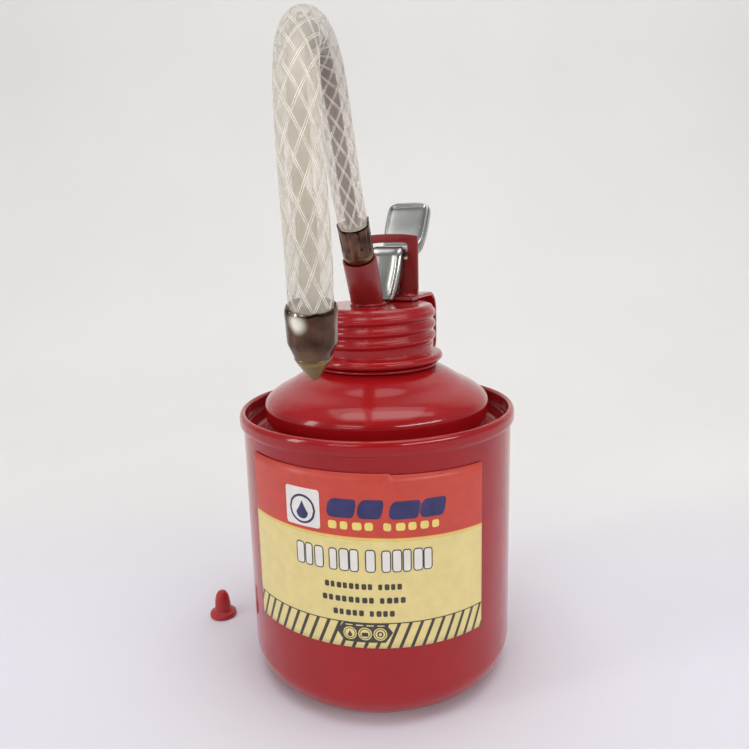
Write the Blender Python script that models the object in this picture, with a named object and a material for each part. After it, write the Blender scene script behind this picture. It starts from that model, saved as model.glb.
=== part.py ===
"""Thumb-lever oil can with a flexible hose spout.

Frame: metres, +Z up, origin at the centre of the flat bottom that the can stands on.
The pump head's plane is YZ: the arch, lever and handle lie to +Y, the spout to -Y.
Dimensions below are in millimetres and are scaled by MM when a mesh is made.
"""
import math

import bmesh
import bpy
from mathutils import Matrix, Vector

MM = 0.001
GAP = 0.3                    # clearance between neighbouring pieces

# --- can body -------------------------------------------------------------------------------
BODY_RADIUS, BODY_WALL = 46.0, 0.8
CORNER_RADIUS = 11.5         # rounded edge of the drawn bottom
RIM_RADIUS = 47.25           # outside of the rolled rim
RIM_LOW, RIM_TOP = 88.6, 93.6
SHOULDER_SHEET = 0.8
NECK_BORE, NECK_RADIUS, NECK_FLANGE = 17.3, 18.6, 21.0
NECK_LOW, NECK_TOP = 107.3, 124.0

# --- label ----------------------------------------------------------------------------------
LABEL_FROM, LABEL_TO = -34.5, 66.0      # degrees from -Y towards +X
LABEL_LOW, LABEL_HIGH = 28.4, 84.0
LABEL_SLOPE = -0.022                    # height change per mm round the body
LABEL_INNER, LABEL_OUTER = 46.3, 46.55

# --- screw cap ------------------------------------------------------------------------------
CAP_TOP, CAP_PLATE = 127.8, 0.8
CAP_BORE, CAP_VALLEY, CAP_CREST = 19.1, 19.8, 20.6
THREAD_PITCH, FIRST_CREST, CRESTS = 3.8, 124.5, 3
PLATE_Z = CAP_TOP + GAP                 # pieces fixed on top of the cap start here

# --- pump, on a vertical line behind the spout ----------------------------------------------
PUMP_Y = 10.8
BLOCK_LOW, BLOCK_TOP = 119.5, 126.4
BARREL_LOW, BARREL_TOP = 62.0, 119.2
BARREL_RADIUS, BARREL_BORE = 5.2, 4.2
ROD_LOW, ROD_RADIUS, ROD_BORE = 82.2, 1.4, 1.7
PISTON_LOW = 84.6
CROSS_PIN_Z, CROSS_PIN_RADIUS = 133.0, 0.95
FOOT_BALL_Z, OUTLET_BALL_Z = 57.4, 124.45
OUTLET_SEAT = 122.8

# --- spout: a leaning socket that holds the crimped hose --------------------------------------
SPOUT_X, SPOUT_Y = -1.2, -2.5
SPOUT_LEAN, SPOUT_TURN = 30.0, 8.5      # degrees from +Z, and from -Y towards +X
SPOUT_LENGTH, SPOUT_RADIUS, SPOUT_BORE = 17.9, 5.5, 3.3
FERRULE_FROM, FERRULE_TO = 15.0, 29.6   # along the spout's line
FERRULE_RADIUS, FERRULE_BORE, STEM_RADIUS = 4.95, 3.3, 3.0
HOSE_DIAMETER, HOSE_STEP = 9.2, 8.0
HOSE_ROUTE = [
    (1.0, -17.3, 154.05), (1.7, -22.8, 163.9), (2.6, -27.4, 172.5), (3.9, -32.7, 180.5),
    (5.8, -39.2, 187.6), (8.3, -47.0, 192.9), (10.9, -55.8, 196.0), (13.7, -65.1, 196.4),
    (16.7, -74.2, 194.3), (19.7, -82.2, 189.7), (22.5, -88.6, 183.0), (24.9, -93.2, 174.7),
    (26.6, -95.9, 165.5), (27.6, -97.0, 155.8), (27.5, -96.3, 146.1), (26.2, -93.8, 136.8),
]
NOZZLE_AXIS = Vector((-0.13, 0.25, -0.96))
NOZZLE_START, NOZZLE_FERRULE, NOZZLE_END = 0.4, 10.0, 15.6
NOZZLE_RADIUS, ORIFICE_RADIUS = 5.25, 0.6

# --- arch bracket, lever and handle -----------------------------------------------------------
ARCH_FRONT, ARCH_BACK = 14.3, 15.7
ARCH_HALF, ARCH_TOP, ARCH_CORNER = 10.7, 151.0, 2.6
WINDOW_HALF, WINDOW_LOW, WINDOW_HIGH = 7.0, 142.2, 148.0
FOOT_FRONT, FOOT_THICK = 8.3, 1.2
RIVET_X, RIVET_Y, RIVET_RADIUS = 8.7, 11.6, 1.0
PIVOT_Y, PIVOT_Z, PIVOT_RADIUS = 17.4, 144.2, 1.0
EAR_INNER, EAR_OUTER = 7.2, 8.6
LEVER_HALF, PAD_HALF, LEVER_SHEET = 6.2, 8.3, 1.0
PAD_RISE, PAD_FLANGE = math.radians(60), 3.0
LEVER_STROKE = math.radians(16)
PLUNGER_RATIO = 9.0                     # plunger lift in mm per radian of lever
HANDLE_HALF, HANDLE_SHEET = 10.2, 1.4

NOZZLE_CAP_X, NOZZLE_CAP_Y = -68.6, -4.6

RED = (0.60, 0.012, 0.018, 1.0)
PLATED = (0.72, 0.74, 0.75, 1.0)
BRASS = (0.62, 0.42, 0.13, 1.0)
BRONZE = (0.16, 0.10, 0.06, 1.0)
RUBBER = (0.04, 0.04, 0.04, 1.0)


# --- helpers ----------------------------------------------------------------------------------

def clear_scene():
    for obj in list(bpy.data.objects):
        bpy.data.objects.remove(obj, do_unlink=True)


def material(name, color, roughness, metallic=0.0):
    mat = bpy.data.materials.get(name) or bpy.data.materials.new(name)
    mat.use_nodes = True
    bsdf = mat.node_tree.nodes["Principled BSDF"]
    bsdf.inputs["Base Color"].default_value = color
    bsdf.inputs["Roughness"].default_value = roughness
    bsdf.inputs["Metallic"].default_value = metallic
    return mat


def red_enamel():
    return material("red_enamel", RED, 0.18)


def plated_steel():
    return material("plated_steel", PLATED, 0.2, 1.0)


def brass():
    return material("brass", BRASS, 0.3, 1.0)


def bronze():
    return material("bronze", BRONZE, 0.4, 1.0)


def rubber():
    return material("rubber", RUBBER, 0.8)


def steel():
    return material("steel", (0.45, 0.45, 0.46, 1.0), 0.35, 1.0)


def finish_object(name, bm, mat, sharp=40.0):
    """Turn a bmesh in millimetres into a smooth-shaded object in metres."""
    bmesh.ops.recalc_face_normals(bm, faces=bm.faces)
    bmesh.ops.scale(bm, vec=(MM, MM, MM), verts=bm.verts)
    mesh = bpy.data.meshes.new(name)
    bm.to_mesh(mesh)
    bm.free()
    mesh.shade_smooth()
    mesh.set_sharp_from_angle(angle=math.radians(sharp))
    mesh.materials.append(mat)
    obj = bpy.data.objects.new(name, mesh)
    bpy.context.scene.collection.objects.link(obj)
    return obj


def lathe(name, profile, mat, segments=48, place=Matrix.Identity(4)):
    """Spin a closed (radius, z) outline round Z, then move it by a matrix in millimetres."""
    bm = bmesh.new()
    verts = [bm.verts.new((r, 0.0, z)) for r, z in profile]
    edges = [bm.edges.new((verts[i - 1], verts[i])) for i in range(len(verts))]
    bmesh.ops.spin(bm, geom=verts + edges, cent=(0, 0, 0), axis=(0, 0, 1),
                   angle=2 * math.pi, steps=segments, use_duplicate=False)
    bmesh.ops.remove_doubles(bm, verts=bm.verts, dist=0.0005)
    loose = [e for e in bm.edges if not e.link_faces]
    bmesh.ops.delete(bm, geom=loose, context="EDGES")
    bmesh.ops.transform(bm, matrix=place, verts=bm.verts)
    return finish_object(name, bm, mat)


def prism(name, outline, low, high, mat, axis="Z"):
    """Extrude an outline of 2-D points between two heights along an axis."""
    def spot(u, v, w):
        return {"Z": (u, v, w), "Y": (u, w, v), "X": (w, u, v)}[axis]
    bm = bmesh.new()
    face = bm.faces.new([bm.verts.new(spot(u, v, low)) for u, v in outline])
    out = bmesh.ops.extrude_face_region(bm, geom=[face])
    moved = [g for g in out["geom"] if isinstance(g, bmesh.types.BMVert)]
    bmesh.ops.translate(bm, vec=spot(0, 0, high - low), verts=moved)
    return finish_object(name, bm, mat)


def arc(cx, cy, radius, start, end, steps):
    """Points along an arc, with its angles in degrees."""
    angles = [math.radians(start + (end - start) * i / steps) for i in range(steps + 1)]
    return [(cx + radius * math.cos(a), cy + radius * math.sin(a)) for a in angles]


def circle(cx, cy, radius, points):
    return arc(cx, cy, radius, 0, 360 - 360 / points, points - 1)


def rounded_rectangle(half_x, half_y, corner, cx=0.0, cy=0.0):
    x, y = half_x - corner, half_y - corner
    corners = [(x, y, 0), (-x, y, 90), (-x, -y, 180), (x, -y, 270)]
    return [p for u, v, a in corners for p in arc(cx + u, cy + v, corner, a, a + 90, 3)]


def sheet(path, thickness):
    """Close a bent-sheet outline: the path, then its offset on the path's right-hand side."""
    points = [Vector(p) for p in path]
    offset = []
    for i, point in enumerate(points):
        sides = []
        for a, b in ((i - 1, i), (i, i + 1)):
            if a >= 0 and b < len(points):
                along = (points[b] - points[a]).normalized()
                sides.append(Vector((along.y, -along.x)))
        normal = sum(sides, Vector((0, 0))).normalized()
        offset.append(point + normal * thickness / normal.dot(sides[0]))
    return [tuple(p) for p in points + offset[::-1]]


def combine(obj, other, operation):
    """Boolean another solid into an object and keep that solid as a hidden guide."""
    other.hide_render = True
    other.display_type = "WIRE"
    mod = obj.modifiers.new(other.name, "BOOLEAN")
    mod.operation = operation
    mod.solver = "EXACT"
    mod.object = other


def drill(obj, label, x, y, low, high, radius):
    """Cut a vertical round hole."""
    hole = circle(x, y, radius, 20)
    combine(obj, prism("guide_" + label, hole, low, high, steel()), "DIFFERENCE")


def cross_drill(obj, label, y, z, half, radius):
    """Cut a round hole along X."""
    hole = circle(y, z, radius, 16)
    combine(obj, prism("guide_" + label, hole, -half, half, steel(), "X"), "DIFFERENCE")


def line_frame(foot, direction):
    """Matrix whose Z runs along a direction from a foot point, in millimetres."""
    turn = Vector((0, 0, 1)).rotation_difference(direction.normalized())
    return Matrix.Translation(foot) @ turn.to_matrix().to_4x4()


def spout_line():
    lean, turn = math.radians(SPOUT_LEAN), math.radians(SPOUT_TURN)
    level = math.sin(lean)
    along = Vector((level * math.sin(turn), -level * math.cos(turn), math.cos(lean)))
    return line_frame(Vector((SPOUT_X, SPOUT_Y, PLATE_Z)), along)


def nozzle_line():
    return line_frame(Vector(HOSE_ROUTE[-1]), NOZZLE_AXIS)


def on_pump(z=0.0):
    return Matrix.Translation((0, PUMP_Y, z))


# --- can ----------------------------------------------------------------------------------------

def body_shell():
    """Seamless drawn cup with a rolled rim, open at the top."""
    wall, flat = BODY_RADIUS - BODY_WALL, BODY_RADIUS - CORNER_RADIUS
    roll_middle, roll_half = (RIM_RADIUS + wall) / 2, (RIM_RADIUS - wall) / 2
    outer = arc(flat, CORNER_RADIUS, CORNER_RADIUS, -90, 0, 6)
    roll = [(BODY_RADIUS, RIM_LOW - 0.4), (RIM_RADIUS, RIM_LOW + 0.6)]
    roll += arc(roll_middle, RIM_TOP - roll_half, roll_half, 0, 180, 4)
    inner = arc(flat, CORNER_RADIUS, CORNER_RADIUS - BODY_WALL, 0, -90, 6)
    return lathe("body_shell", [(0, 0)] + outer + roll + inner + [(0, BODY_WALL)], red_enamel(), 60)


def shoulder():
    """Domed top, inset so that a drip gutter runs between it and the rim."""
    flange = BODY_RADIUS - BODY_WALL - GAP - SHOULDER_SHEET
    cone = [(NECK_RADIUS + 0.4, 107.0), (20.9, 107.0), (26.4, 104.1), (31.4, 101.4), (35.4, 98.9)]
    bulge = [(37.7, 96.7), (38.6, 94.2), (38.3, 91.0), (37.8, 88.0), (38.2, 85.4)]
    gutter = [(39.8, 83.8), (42.2, 83.8), (flange - 0.4, 84.9), (flange, 86.6), (flange, 88.6)]
    return lathe("shoulder", sheet(cone + bulge + gutter, SHOULDER_SHEET), red_enamel(), 60)


def neck_collar():
    flange = [(NECK_FLANGE, NECK_LOW), (NECK_FLANGE, 108.0), (NECK_FLANGE - 0.4, 108.3)]
    tube = [(NECK_RADIUS, 108.3), (NECK_RADIUS, NECK_TOP), (NECK_BORE, NECK_TOP)]
    return lathe("neck_collar", [(NECK_BORE, NECK_LOW)] + flange + tube, red_enamel())


def label():
    """Paper label: a thin skewed patch that follows the body wall."""
    steps = 20
    bm = bmesh.new()
    rings = []
    for i in range(steps + 1):
        degrees = LABEL_FROM + (LABEL_TO - LABEL_FROM) * i / steps
        turn = math.radians(degrees)
        middle = math.radians((LABEL_FROM + LABEL_TO) / 2)
        rise = (turn - middle) * BODY_RADIUS * LABEL_SLOPE
        corners = [(LABEL_INNER, LABEL_LOW), (LABEL_OUTER, LABEL_LOW),
                   (LABEL_OUTER, LABEL_HIGH), (LABEL_INNER, LABEL_HIGH)]
        rings.append([bm.verts.new((r * math.sin(turn), -r * math.cos(turn), z + rise))
                      for r, z in corners])
    for a, b in zip(rings, rings[1:]):
        for k in range(4):
            bm.faces.new((a[k - 1], a[k], b[k], b[k - 1]))
    bm.faces.new(rings[0])
    bm.faces.new(rings[-1])
    return finish_object("label", bm, material("label", (0.85, 0.75, 0.35, 1.0), 0.35))


# --- screw cap and what is fixed on it ----------------------------------------------------------

def screw_cap():
    """Rolled-thread cap with a curled bead round its skirt."""
    outer = [(0, CAP_TOP), (18.4, CAP_TOP), (19.3, CAP_TOP - 0.4), (CAP_VALLEY, CAP_TOP - 1.4)]
    for i in range(CRESTS):
        z = FIRST_CREST - i * THREAD_PITCH
        outer += [(CAP_VALLEY, z + 1.3), (CAP_CREST, z + 0.5), (CAP_CREST, z - 0.5),
                  (CAP_VALLEY, z - 1.3)]
    bead = [(20.6, 112.0), (22.2, 111.6), (23.05, 110.6), (22.9, 109.6), (22.0, 109.0), (20.2, 108.9)]
    inner = [(CAP_BORE, 109.6), (CAP_BORE, CAP_TOP - CAP_PLATE), (0, CAP_TOP - CAP_PLATE)]
    cap = lathe("screw_cap", outer + bead + inner, red_enamel())
    low, high = CAP_TOP - 3, CAP_TOP + 3
    drill(cap, "cap_gland", 0, PUMP_Y, low, high, 2.6)
    drill(cap, "cap_outlet", SPOUT_X, SPOUT_Y, low, high, 2.6)
    for side in (-1, 1):
        drill(cap, f"cap_rivet_{side}", side * RIVET_X, RIVET_Y, low, high, RIVET_RADIUS + GAP)
    return cap


def cap_gasket():
    ring = [(17.0, NECK_TOP + GAP), (18.8, NECK_TOP + GAP), (18.8, 126.7), (17.0, 126.7)]
    return lathe("cap_gasket", ring, rubber())


def arch_bracket():
    """Bent strip: a foot on the cap, and an upright with the window that the lever rocks in."""
    foot_top = PLATE_Z + FOOT_THICK
    side = [(FOOT_FRONT, PLATE_Z)] + arc(ARCH_BACK - 1.8, PLATE_Z + 1.8, 1.8, -90, 0, 3)
    side += [(ARCH_BACK, ARCH_TOP), (ARCH_FRONT, ARCH_TOP), (ARCH_FRONT, foot_top + 0.5)]
    side += [(ARCH_FRONT - 0.5, foot_top), (FOOT_FRONT, foot_top)]
    arch = prism("arch_bracket", side, -ARCH_HALF, ARCH_HALF, red_enamel(), "X")
    middle = (WINDOW_LOW + WINDOW_HIGH) / 2
    window = rounded_rectangle(WINDOW_HALF, (WINDOW_HIGH - WINDOW_LOW) / 2, 0.7, 0, middle)
    combine(arch, prism("guide_window", window, 10, 20, steel(), "Y"), "DIFFERENCE")
    for side_sign in (-1, 1):
        corner = arc(ARCH_HALF - ARCH_CORNER, ARCH_TOP - ARCH_CORNER, ARCH_CORNER, 90, 0, 4)
        corner += [(ARCH_HALF + 1, ARCH_TOP - ARCH_CORNER), (ARCH_HALF + 1, ARCH_TOP + 1),
                   (ARCH_HALF - ARCH_CORNER, ARCH_TOP + 1)]
        outline = [(side_sign * x, z) for x, z in corner]
        guide = prism(f"guide_corner_{side_sign}", outline, 10, 20, steel(), "Y")
        combine(arch, guide, "DIFFERENCE")
        ear = [(ARCH_BACK - 0.5, 141.9)] + arc(PIVOT_Y, PIVOT_Z, 2.3, -90, 90, 6)
        ear += [(ARCH_BACK - 0.5, 146.5)]
        ends = sorted((side_sign * EAR_INNER, side_sign * EAR_OUTER))
        combine(arch, prism(f"guide_ear_{side_sign}", ear, *ends, steel(), "X"), "UNION")
        drill(arch, f"foot_rivet_{side_sign}", side_sign * RIVET_X, RIVET_Y,
              PLATE_Z - 1, PLATE_Z + 3, RIVET_RADIUS + GAP)
    drill(arch, "foot_gland", 0, PUMP_Y, PLATE_Z - 1, PLATE_Z + 3, 3.3)
    cross_drill(arch, "ear_pivot", PIVOT_Y, PIVOT_Z, 15, PIVOT_RADIUS + GAP)
    return arch


def bracket_rivet(name, x):
    """Rivet that clamps the bracket's foot to the cap."""
    top = PLATE_Z + FOOT_THICK + GAP
    tail = [(0, 125.9), (1.5, 125.9), (1.5, 126.7), (RIVET_RADIUS, 126.7), (RIVET_RADIUS, top)]
    head = [(1.8, top), (1.5, top + 0.55), (0.8, top + 0.85), (0, top + 0.95)]
    return lathe(name, tail + head, red_enamel(), 16, Matrix.Translation((x, RIVET_Y, 0)))


def handle_strap():
    """Finger strap welded to the cap behind the arch, bent down and curled in at its end."""
    top = PLATE_Z + HANDLE_SHEET
    level = [(ARCH_BACK + 0.4, top), (28.0, top)]
    bend = arc(30.1, top - 7.3, 7.3, 90, 0, 6)
    curl = [(37.3, 112.5), (36.6, 108.2), (34.6, 105.4), (31.7, 104.7)]
    outline = sheet(level + bend + curl, HANDLE_SHEET)
    strap = prism("handle_strap", outline, -HANDLE_HALF, HANDLE_HALF, red_enamel(), "X")
    return strap


def spout_socket():
    """Leaning tube that carries the hose, cut level where it stands on the cap."""
    tube = [(SPOUT_BORE, -6), (SPOUT_RADIUS, -6), (SPOUT_RADIUS, SPOUT_LENGTH - 0.4),
            (SPOUT_RADIUS - 0.3, SPOUT_LENGTH), (4.75, SPOUT_LENGTH), (4.75, FERRULE_FROM - GAP),
            (SPOUT_BORE, FERRULE_FROM - GAP)]
    socket = lathe("spout_socket", tube, red_enamel(), 28, spout_line())
    below = rounded_rectangle(20, 20, 1)
    combine(socket, prism("guide_cap_top", below, PLATE_Z - 20, PLATE_Z, steel()), "DIFFERENCE")
    return socket


def hose_stem():
    """Brass tube that the hose is pushed over, held in the spout."""
    tube = [(1.9, 9.0), (STEM_RADIUS, 9.0), (STEM_RADIUS, FERRULE_TO - 0.3), (1.9, FERRULE_TO - 0.3)]
    return lathe("hose_stem", tube, brass(), 20, spout_line())


def socket_ferrule():
    """Crimped sleeve at the foot of the hose."""
    neck = [(FERRULE_BORE, FERRULE_FROM), (4.45, FERRULE_FROM), (4.45, SPOUT_LENGTH + 0.4)]
    sleeve = [(FERRULE_RADIUS - 0.2, SPOUT_LENGTH + 0.6), (FERRULE_RADIUS, SPOUT_LENGTH + 4),
              (FERRULE_RADIUS, FERRULE_TO), (FERRULE_BORE, FERRULE_TO)]
    return lathe("socket_ferrule", neck + sleeve, bronze(), 28, spout_line())


def catmull_rom(points, per_span=12):
    """Smooth curve through the points, sampled finely."""
    ends = [points[0] * 2 - points[1]] + points + [points[-1] * 2 - points[-2]]
    samples = []
    for a, b, c, d in zip(ends, ends[1:], ends[2:], ends[3:]):
        for i in range(per_span):
            t = i / per_span
            samples.append(0.5 * (2 * b + (c - a) * t + (2 * a - 5 * b + 4 * c - d) * t ** 2
                                  + (3 * b - a - 3 * c + d) * t ** 3))
    return samples + [points[-1]]


def hose():
    """Braided hose: one plain tube along its smooth route."""
    fine = catmull_rom([Vector(p) for p in HOSE_ROUTE])
    reach = [0.0]
    for a, b in zip(fine, fine[1:]):
        reach.append(reach[-1] + (b - a).length)
    count = round(reach[-1] / HOSE_STEP)
    spots = []
    for i in range(count + 1):
        target = reach[-1] * i / count
        k = min(j for j, s in enumerate(reach) if s >= target - 1e-6)
        spots.append(fine[k])
    curve = bpy.data.curves.new("hose", "CURVE")
    curve.dimensions = "3D"
    spline = curve.splines.new("POLY")
    spline.points.add(len(spots) - 1)
    for point, spot in zip(spline.points, spots):
        point.co = (*(spot * MM), 1.0)
    curve.bevel_depth = HOSE_DIAMETER / 2 * MM
    curve.bevel_resolution = 3
    curve.use_fill_caps = True
    curve.materials.append(material("clear_hose", (0.75, 0.72, 0.66, 1.0), 0.3))
    obj = bpy.data.objects.new("hose", curve)
    bpy.context.scene.collection.objects.link(obj)
    return obj


def nozzle_ferrule():
    """Crimped sleeve at the free end of the hose, drawn in towards the tip."""
    outer = [(NOZZLE_RADIUS - 0.1, NOZZLE_START), (NOZZLE_RADIUS + 0.1, 1.2), (NOZZLE_RADIUS, 2.4),
             (NOZZLE_RADIUS - 0.1, 6.6), (4.8, 8.4), (4.1, NOZZLE_FERRULE)]
    bore = [(FERRULE_BORE, NOZZLE_FERRULE), (FERRULE_BORE, NOZZLE_START)]
    return lathe("nozzle_ferrule", outer + bore, bronze(), 28, nozzle_line())


def nozzle_tip():
    """Turned brass nozzle: a stem inside the ferrule and a pointed cone with its orifice."""
    base = NOZZLE_FERRULE + GAP
    outer = [(ORIFICE_RADIUS, 1.0), (STEM_RADIUS, 1.0), (STEM_RADIUS, base), (4.0, base),
             (3.9, base + 0.5), (1.2, NOZZLE_END - 0.3), (ORIFICE_RADIUS + 0.2, NOZZLE_END),
             (ORIFICE_RADIUS, NOZZLE_END)]
    return lathe("nozzle_tip", outer, brass(), 24, nozzle_line())


def nozzle_cap():
    """Rubber cap for the nozzle, standing beside the can."""
    dome = [(0, 10.8), (1.4, 10.4), (2.4, 9.2), (2.95, 7.0), (3.15, 4.4), (3.3, 2.6)]
    flange = [(4.0, 2.1), (5.0, 1.7), (5.25, 1.2), (5.25, 0.6), (4.9, 0.0)]
    cavity = [(2.8, 0.0), (2.3, 1.0), (2.0, 5.0), (1.0, 7.8), (0, 8.2)]
    place = Matrix.Translation((NOZZLE_CAP_X, NOZZLE_CAP_Y, 0))
    red_rubber = material("red_rubber", (0.55, 0.03, 0.02, 1.0), 0.45)
    return lathe("nozzle_cap", dome + flange + cavity, red_rubber, 24, place)


# --- lever ----------------------------------------------------------------------------------------

def lever_stations():
    """Rings along the lever: (outer face point, flange edge point, half width), points as (y, z)."""
    half = LEVER_HALF
    stations = [((6.0, 128.6), (7.8, 128.7), half - 1.9), ((6.3, 129.7), (8.2, 129.85), half - 1.2),
                ((6.45, 130.2), (12.5, 130.3), half - 0.9), ((6.85, 131.5), (13.9, 131.8), half),
                ((8.6, 138.0), (13.9, 137.2), half)]
    edges = [(13.9, 142.0), (13.95, 142.15), (14.0, 142.3), (14.1, 142.5), (14.25, 142.6)]
    stations += [(p, e, half) for p, e in zip(arc(14.9, 141.8, 5.0, 165, 90, 4), edges)]
    stations += [((16.6, 146.8), (16.2, 142.3), half), ((19.4, 146.8), (19.2, 142.2), half)]
    edges = [(24.8, 143.0), (26.8, 143.4), (28.7, 144.4), (30.4, 146.0), (31.7, 148.1)]
    widths = [half + 0.5, half + 0.8, half + 1.1, half + 1.4, half + 1.7]
    stations += list(zip(arc(23.84, 152.8, 6.0, -90, -30, 4), edges, widths))
    pad_end = Vector((36.4, 162.5))
    along = Vector((math.cos(PAD_RISE), math.sin(PAD_RISE)))
    under = Vector((along.y, -along.x)) * PAD_FLANGE
    for back, width in ((11.0, PAD_HALF), (2.4, PAD_HALF), (0.7, PAD_HALF - 0.9), (0, PAD_HALF - 2.6)):
        spot = pad_end - along * back
        stations.append((spot, spot + under, width))
    return stations


def lever_ring(face, edge, half, inward):
    """One channel section: the outside first, then the inside of the bent sheet."""
    inner = half - LEVER_SHEET
    shoulder, inside = face + inward * 0.7, face + inward * LEVER_SHEET
    section = [(-half, edge), (-half, shoulder), (0.7 - half, face), (half - 0.7, face),
               (half, shoulder), (half, edge), (inner, edge), (inner, inside), (-inner, inside),
               (-inner, edge)]
    return [(x, spot.x, spot.y) for x, spot in section]


def slot_guide():
    """Open slot that lets the rod's cross pin stay on its vertical line as the lever rocks."""
    pivot = Vector((PIVOT_Y, PIVOT_Z))

    def in_lever(stroke):
        spot = Vector((PUMP_Y, CROSS_PIN_Z + PLUNGER_RATIO * stroke)) - pivot
        return pivot + Matrix.Rotation(stroke, 2) @ spot

    start, end = in_lever(0), in_lever(LEVER_STROKE)
    along = (end - start).normalized()
    heading = math.degrees(math.atan2(along.y, along.x))
    radius = CROSS_PIN_RADIUS + GAP
    nose = arc(start.x, start.y, radius, heading + 90, heading + 270, 8)
    far = start + along * 9
    side = Vector((-along.y, along.x)) * radius
    outline = nose + [tuple(far - side), tuple(far + side)]
    return prism("guide_slot", outline, -10, 10, steel(), "X")


def lever():
    """Pressed channel: a foot that lifts the rod, a rocking middle and a thumb pad."""
    bm = bmesh.new()
    stations = [(Vector(face), Vector(edge), half) for face, edge, half in lever_stations()]
    rings = []
    for i, (face, edge, half) in enumerate(stations):
        before, after = stations[max(i - 1, 0)][0], stations[min(i + 1, len(stations) - 1)][0]
        along = (after - before).normalized()
        ring = lever_ring(face, edge, half, Vector((along.y, -along.x)))
        rings.append([bm.verts.new(spot) for spot in ring])
    for a, b in zip(rings, rings[1:]):
        for k in range(len(a)):
            bm.faces.new((a[k - 1], a[k], b[k], b[k - 1]))
    bm.faces.new(rings[0])
    bm.faces.new(rings[-1])
    obj = finish_object("lever", bm, plated_steel())
    combine(obj, slot_guide(), "DIFFERENCE")
    cross_drill(obj, "lever_pivot", PIVOT_Y, PIVOT_Z, 10, PIVOT_RADIUS + GAP)
    return obj


def plain_pin(name, y, z, radius, half):
    """Pin along X whose ends are flush with the lever's sides."""
    outline = [(0, -half), (radius - 0.2, -half), (radius, 0.2 - half), (radius, half - 0.2),
               (radius - 0.2, half), (0, half)]
    place = Matrix.Translation((0, y, z)) @ Matrix.Rotation(math.pi / 2, 4, "Y")
    return lathe(name, outline, steel(), 16, place)


def headed_pin(name, y, z, radius, head_radius, shank_half, head_half):
    """Pin along X with a head at each end."""
    outline = [(0, -head_half), (head_radius, -head_half), (head_radius, -shank_half),
               (radius, -shank_half), (radius, shank_half), (head_radius, shank_half),
               (head_radius, head_half), (0, head_half)]
    place = Matrix.Translation((0, y, z)) @ Matrix.Rotation(math.pi / 2, 4, "Y")
    return lathe(name, outline, steel(), 16, place)


# --- pump -----------------------------------------------------------------------------------------

def pump_block():
    """Brass block under the cap: rod gland, barrel seat and the way to the outlet valve."""
    outline = rounded_rectangle(6.8, 11.2, 6.0, 0, 4.7)
    block = prism("pump_block", outline, BLOCK_LOW, BLOCK_TOP, brass())
    drill(block, "block_rod", 0, PUMP_Y, BLOCK_LOW - 1, BLOCK_TOP + 1, ROD_BORE)
    drill(block, "block_packing", 0, PUMP_Y, 124.3, BLOCK_TOP + 1, 3.1)
    drill(block, "block_barrel", 0, PUMP_Y, BLOCK_LOW - 1, 122.4, BARREL_BORE)
    drill(block, "block_outlet", SPOUT_X, SPOUT_Y, OUTLET_SEAT, BLOCK_TOP + 1, 2.5)
    drill(block, "block_seat", SPOUT_X, SPOUT_Y, 120.4, OUTLET_SEAT + 0.5, 1.3)
    start = Vector((SPOUT_X, SPOUT_Y, 121.4))
    passage = Vector((0, PUMP_Y, 121.4)) - start
    hole = [(0, 0), (0.8, 0), (0.8, passage.length), (0, passage.length)]
    guide = lathe("guide_passage", hole, steel(), 12, line_frame(start, passage))
    combine(block, guide, "DIFFERENCE")
    return block


def pump_barrel():
    tube = [(BARREL_BORE, BARREL_LOW), (BARREL_RADIUS, BARREL_LOW), (BARREL_RADIUS, BARREL_TOP),
            (BARREL_BORE, BARREL_TOP)]
    return lathe("pump_barrel", tube, brass(), 28, on_pump())


def gland_bush():
    profile = [(ROD_BORE, 126.7), (2.3, 126.7), (2.3, PLATE_Z), (3.0, PLATE_Z), (3.0, 130.0),
               (2.7, 130.3), (ROD_BORE, 130.3)]
    return lathe("gland_bush", profile, brass(), 20, on_pump())


def packing_ring():
    profile = [(ROD_BORE, 124.6), (2.8, 124.6), (2.8, 126.3), (ROD_BORE, 126.3)]
    return lathe("packing_ring", profile, rubber(), 20, on_pump())


def plunger_rod():
    """Rod from the piston up through the gland, with an eye for the cross pin."""
    eye_z = CROSS_PIN_Z
    shank = [(0, ROD_LOW), (ROD_RADIUS, ROD_LOW), (ROD_RADIUS, eye_z - 1), (0, eye_z - 1)]
    rod = lathe("plunger_rod", shank, steel(), 20, on_pump())
    eye = prism("guide_eye", circle(PUMP_Y, eye_z, 2.0, 20), -2.2, 2.2, steel(), "X")
    combine(rod, eye, "UNION")
    cross_drill(rod, "eye_hole", PUMP_Y, eye_z, 5, CROSS_PIN_RADIUS + GAP)
    return rod


def piston_ring(name, radius, low, high, mat, segments=28):
    profile = [(ROD_BORE, low), (radius, low), (radius, high), (ROD_BORE, high)]
    return lathe(name, profile, mat, segments, on_pump())


def return_spring():
    """Compression spring that pushes the piston down; a wire helix."""
    turns, per_turn, coil = 7, 10, 2.9
    low, high = 90.5, 118.4
    curve = bpy.data.curves.new("return_spring", "CURVE")
    curve.dimensions = "3D"
    spline = curve.splines.new("POLY")
    count = turns * per_turn
    spline.points.add(count)
    for i, point in enumerate(spline.points):
        turn = 2 * math.pi * i / per_turn
        z = low + (high - low) * i / count
        spot = Vector((coil * math.cos(turn), PUMP_Y + coil * math.sin(turn), z)) * MM
        point.co = (*spot, 1.0)
    curve.bevel_depth = 0.5 * MM
    curve.bevel_resolution = 1
    curve.use_fill_caps = True
    curve.materials.append(steel())
    obj = bpy.data.objects.new("return_spring", curve)
    bpy.context.scene.collection.objects.link(obj)
    return obj


def foot_valve():
    profile = [(1.6, 52.0), (BARREL_RADIUS, 52.0), (BARREL_RADIUS, BARREL_LOW - GAP),
               (3.2, BARREL_LOW - GAP), (3.2, 56.6), (1.6, 55.2)]
    return lathe("foot_valve", profile, brass(), 28, on_pump())


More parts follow.
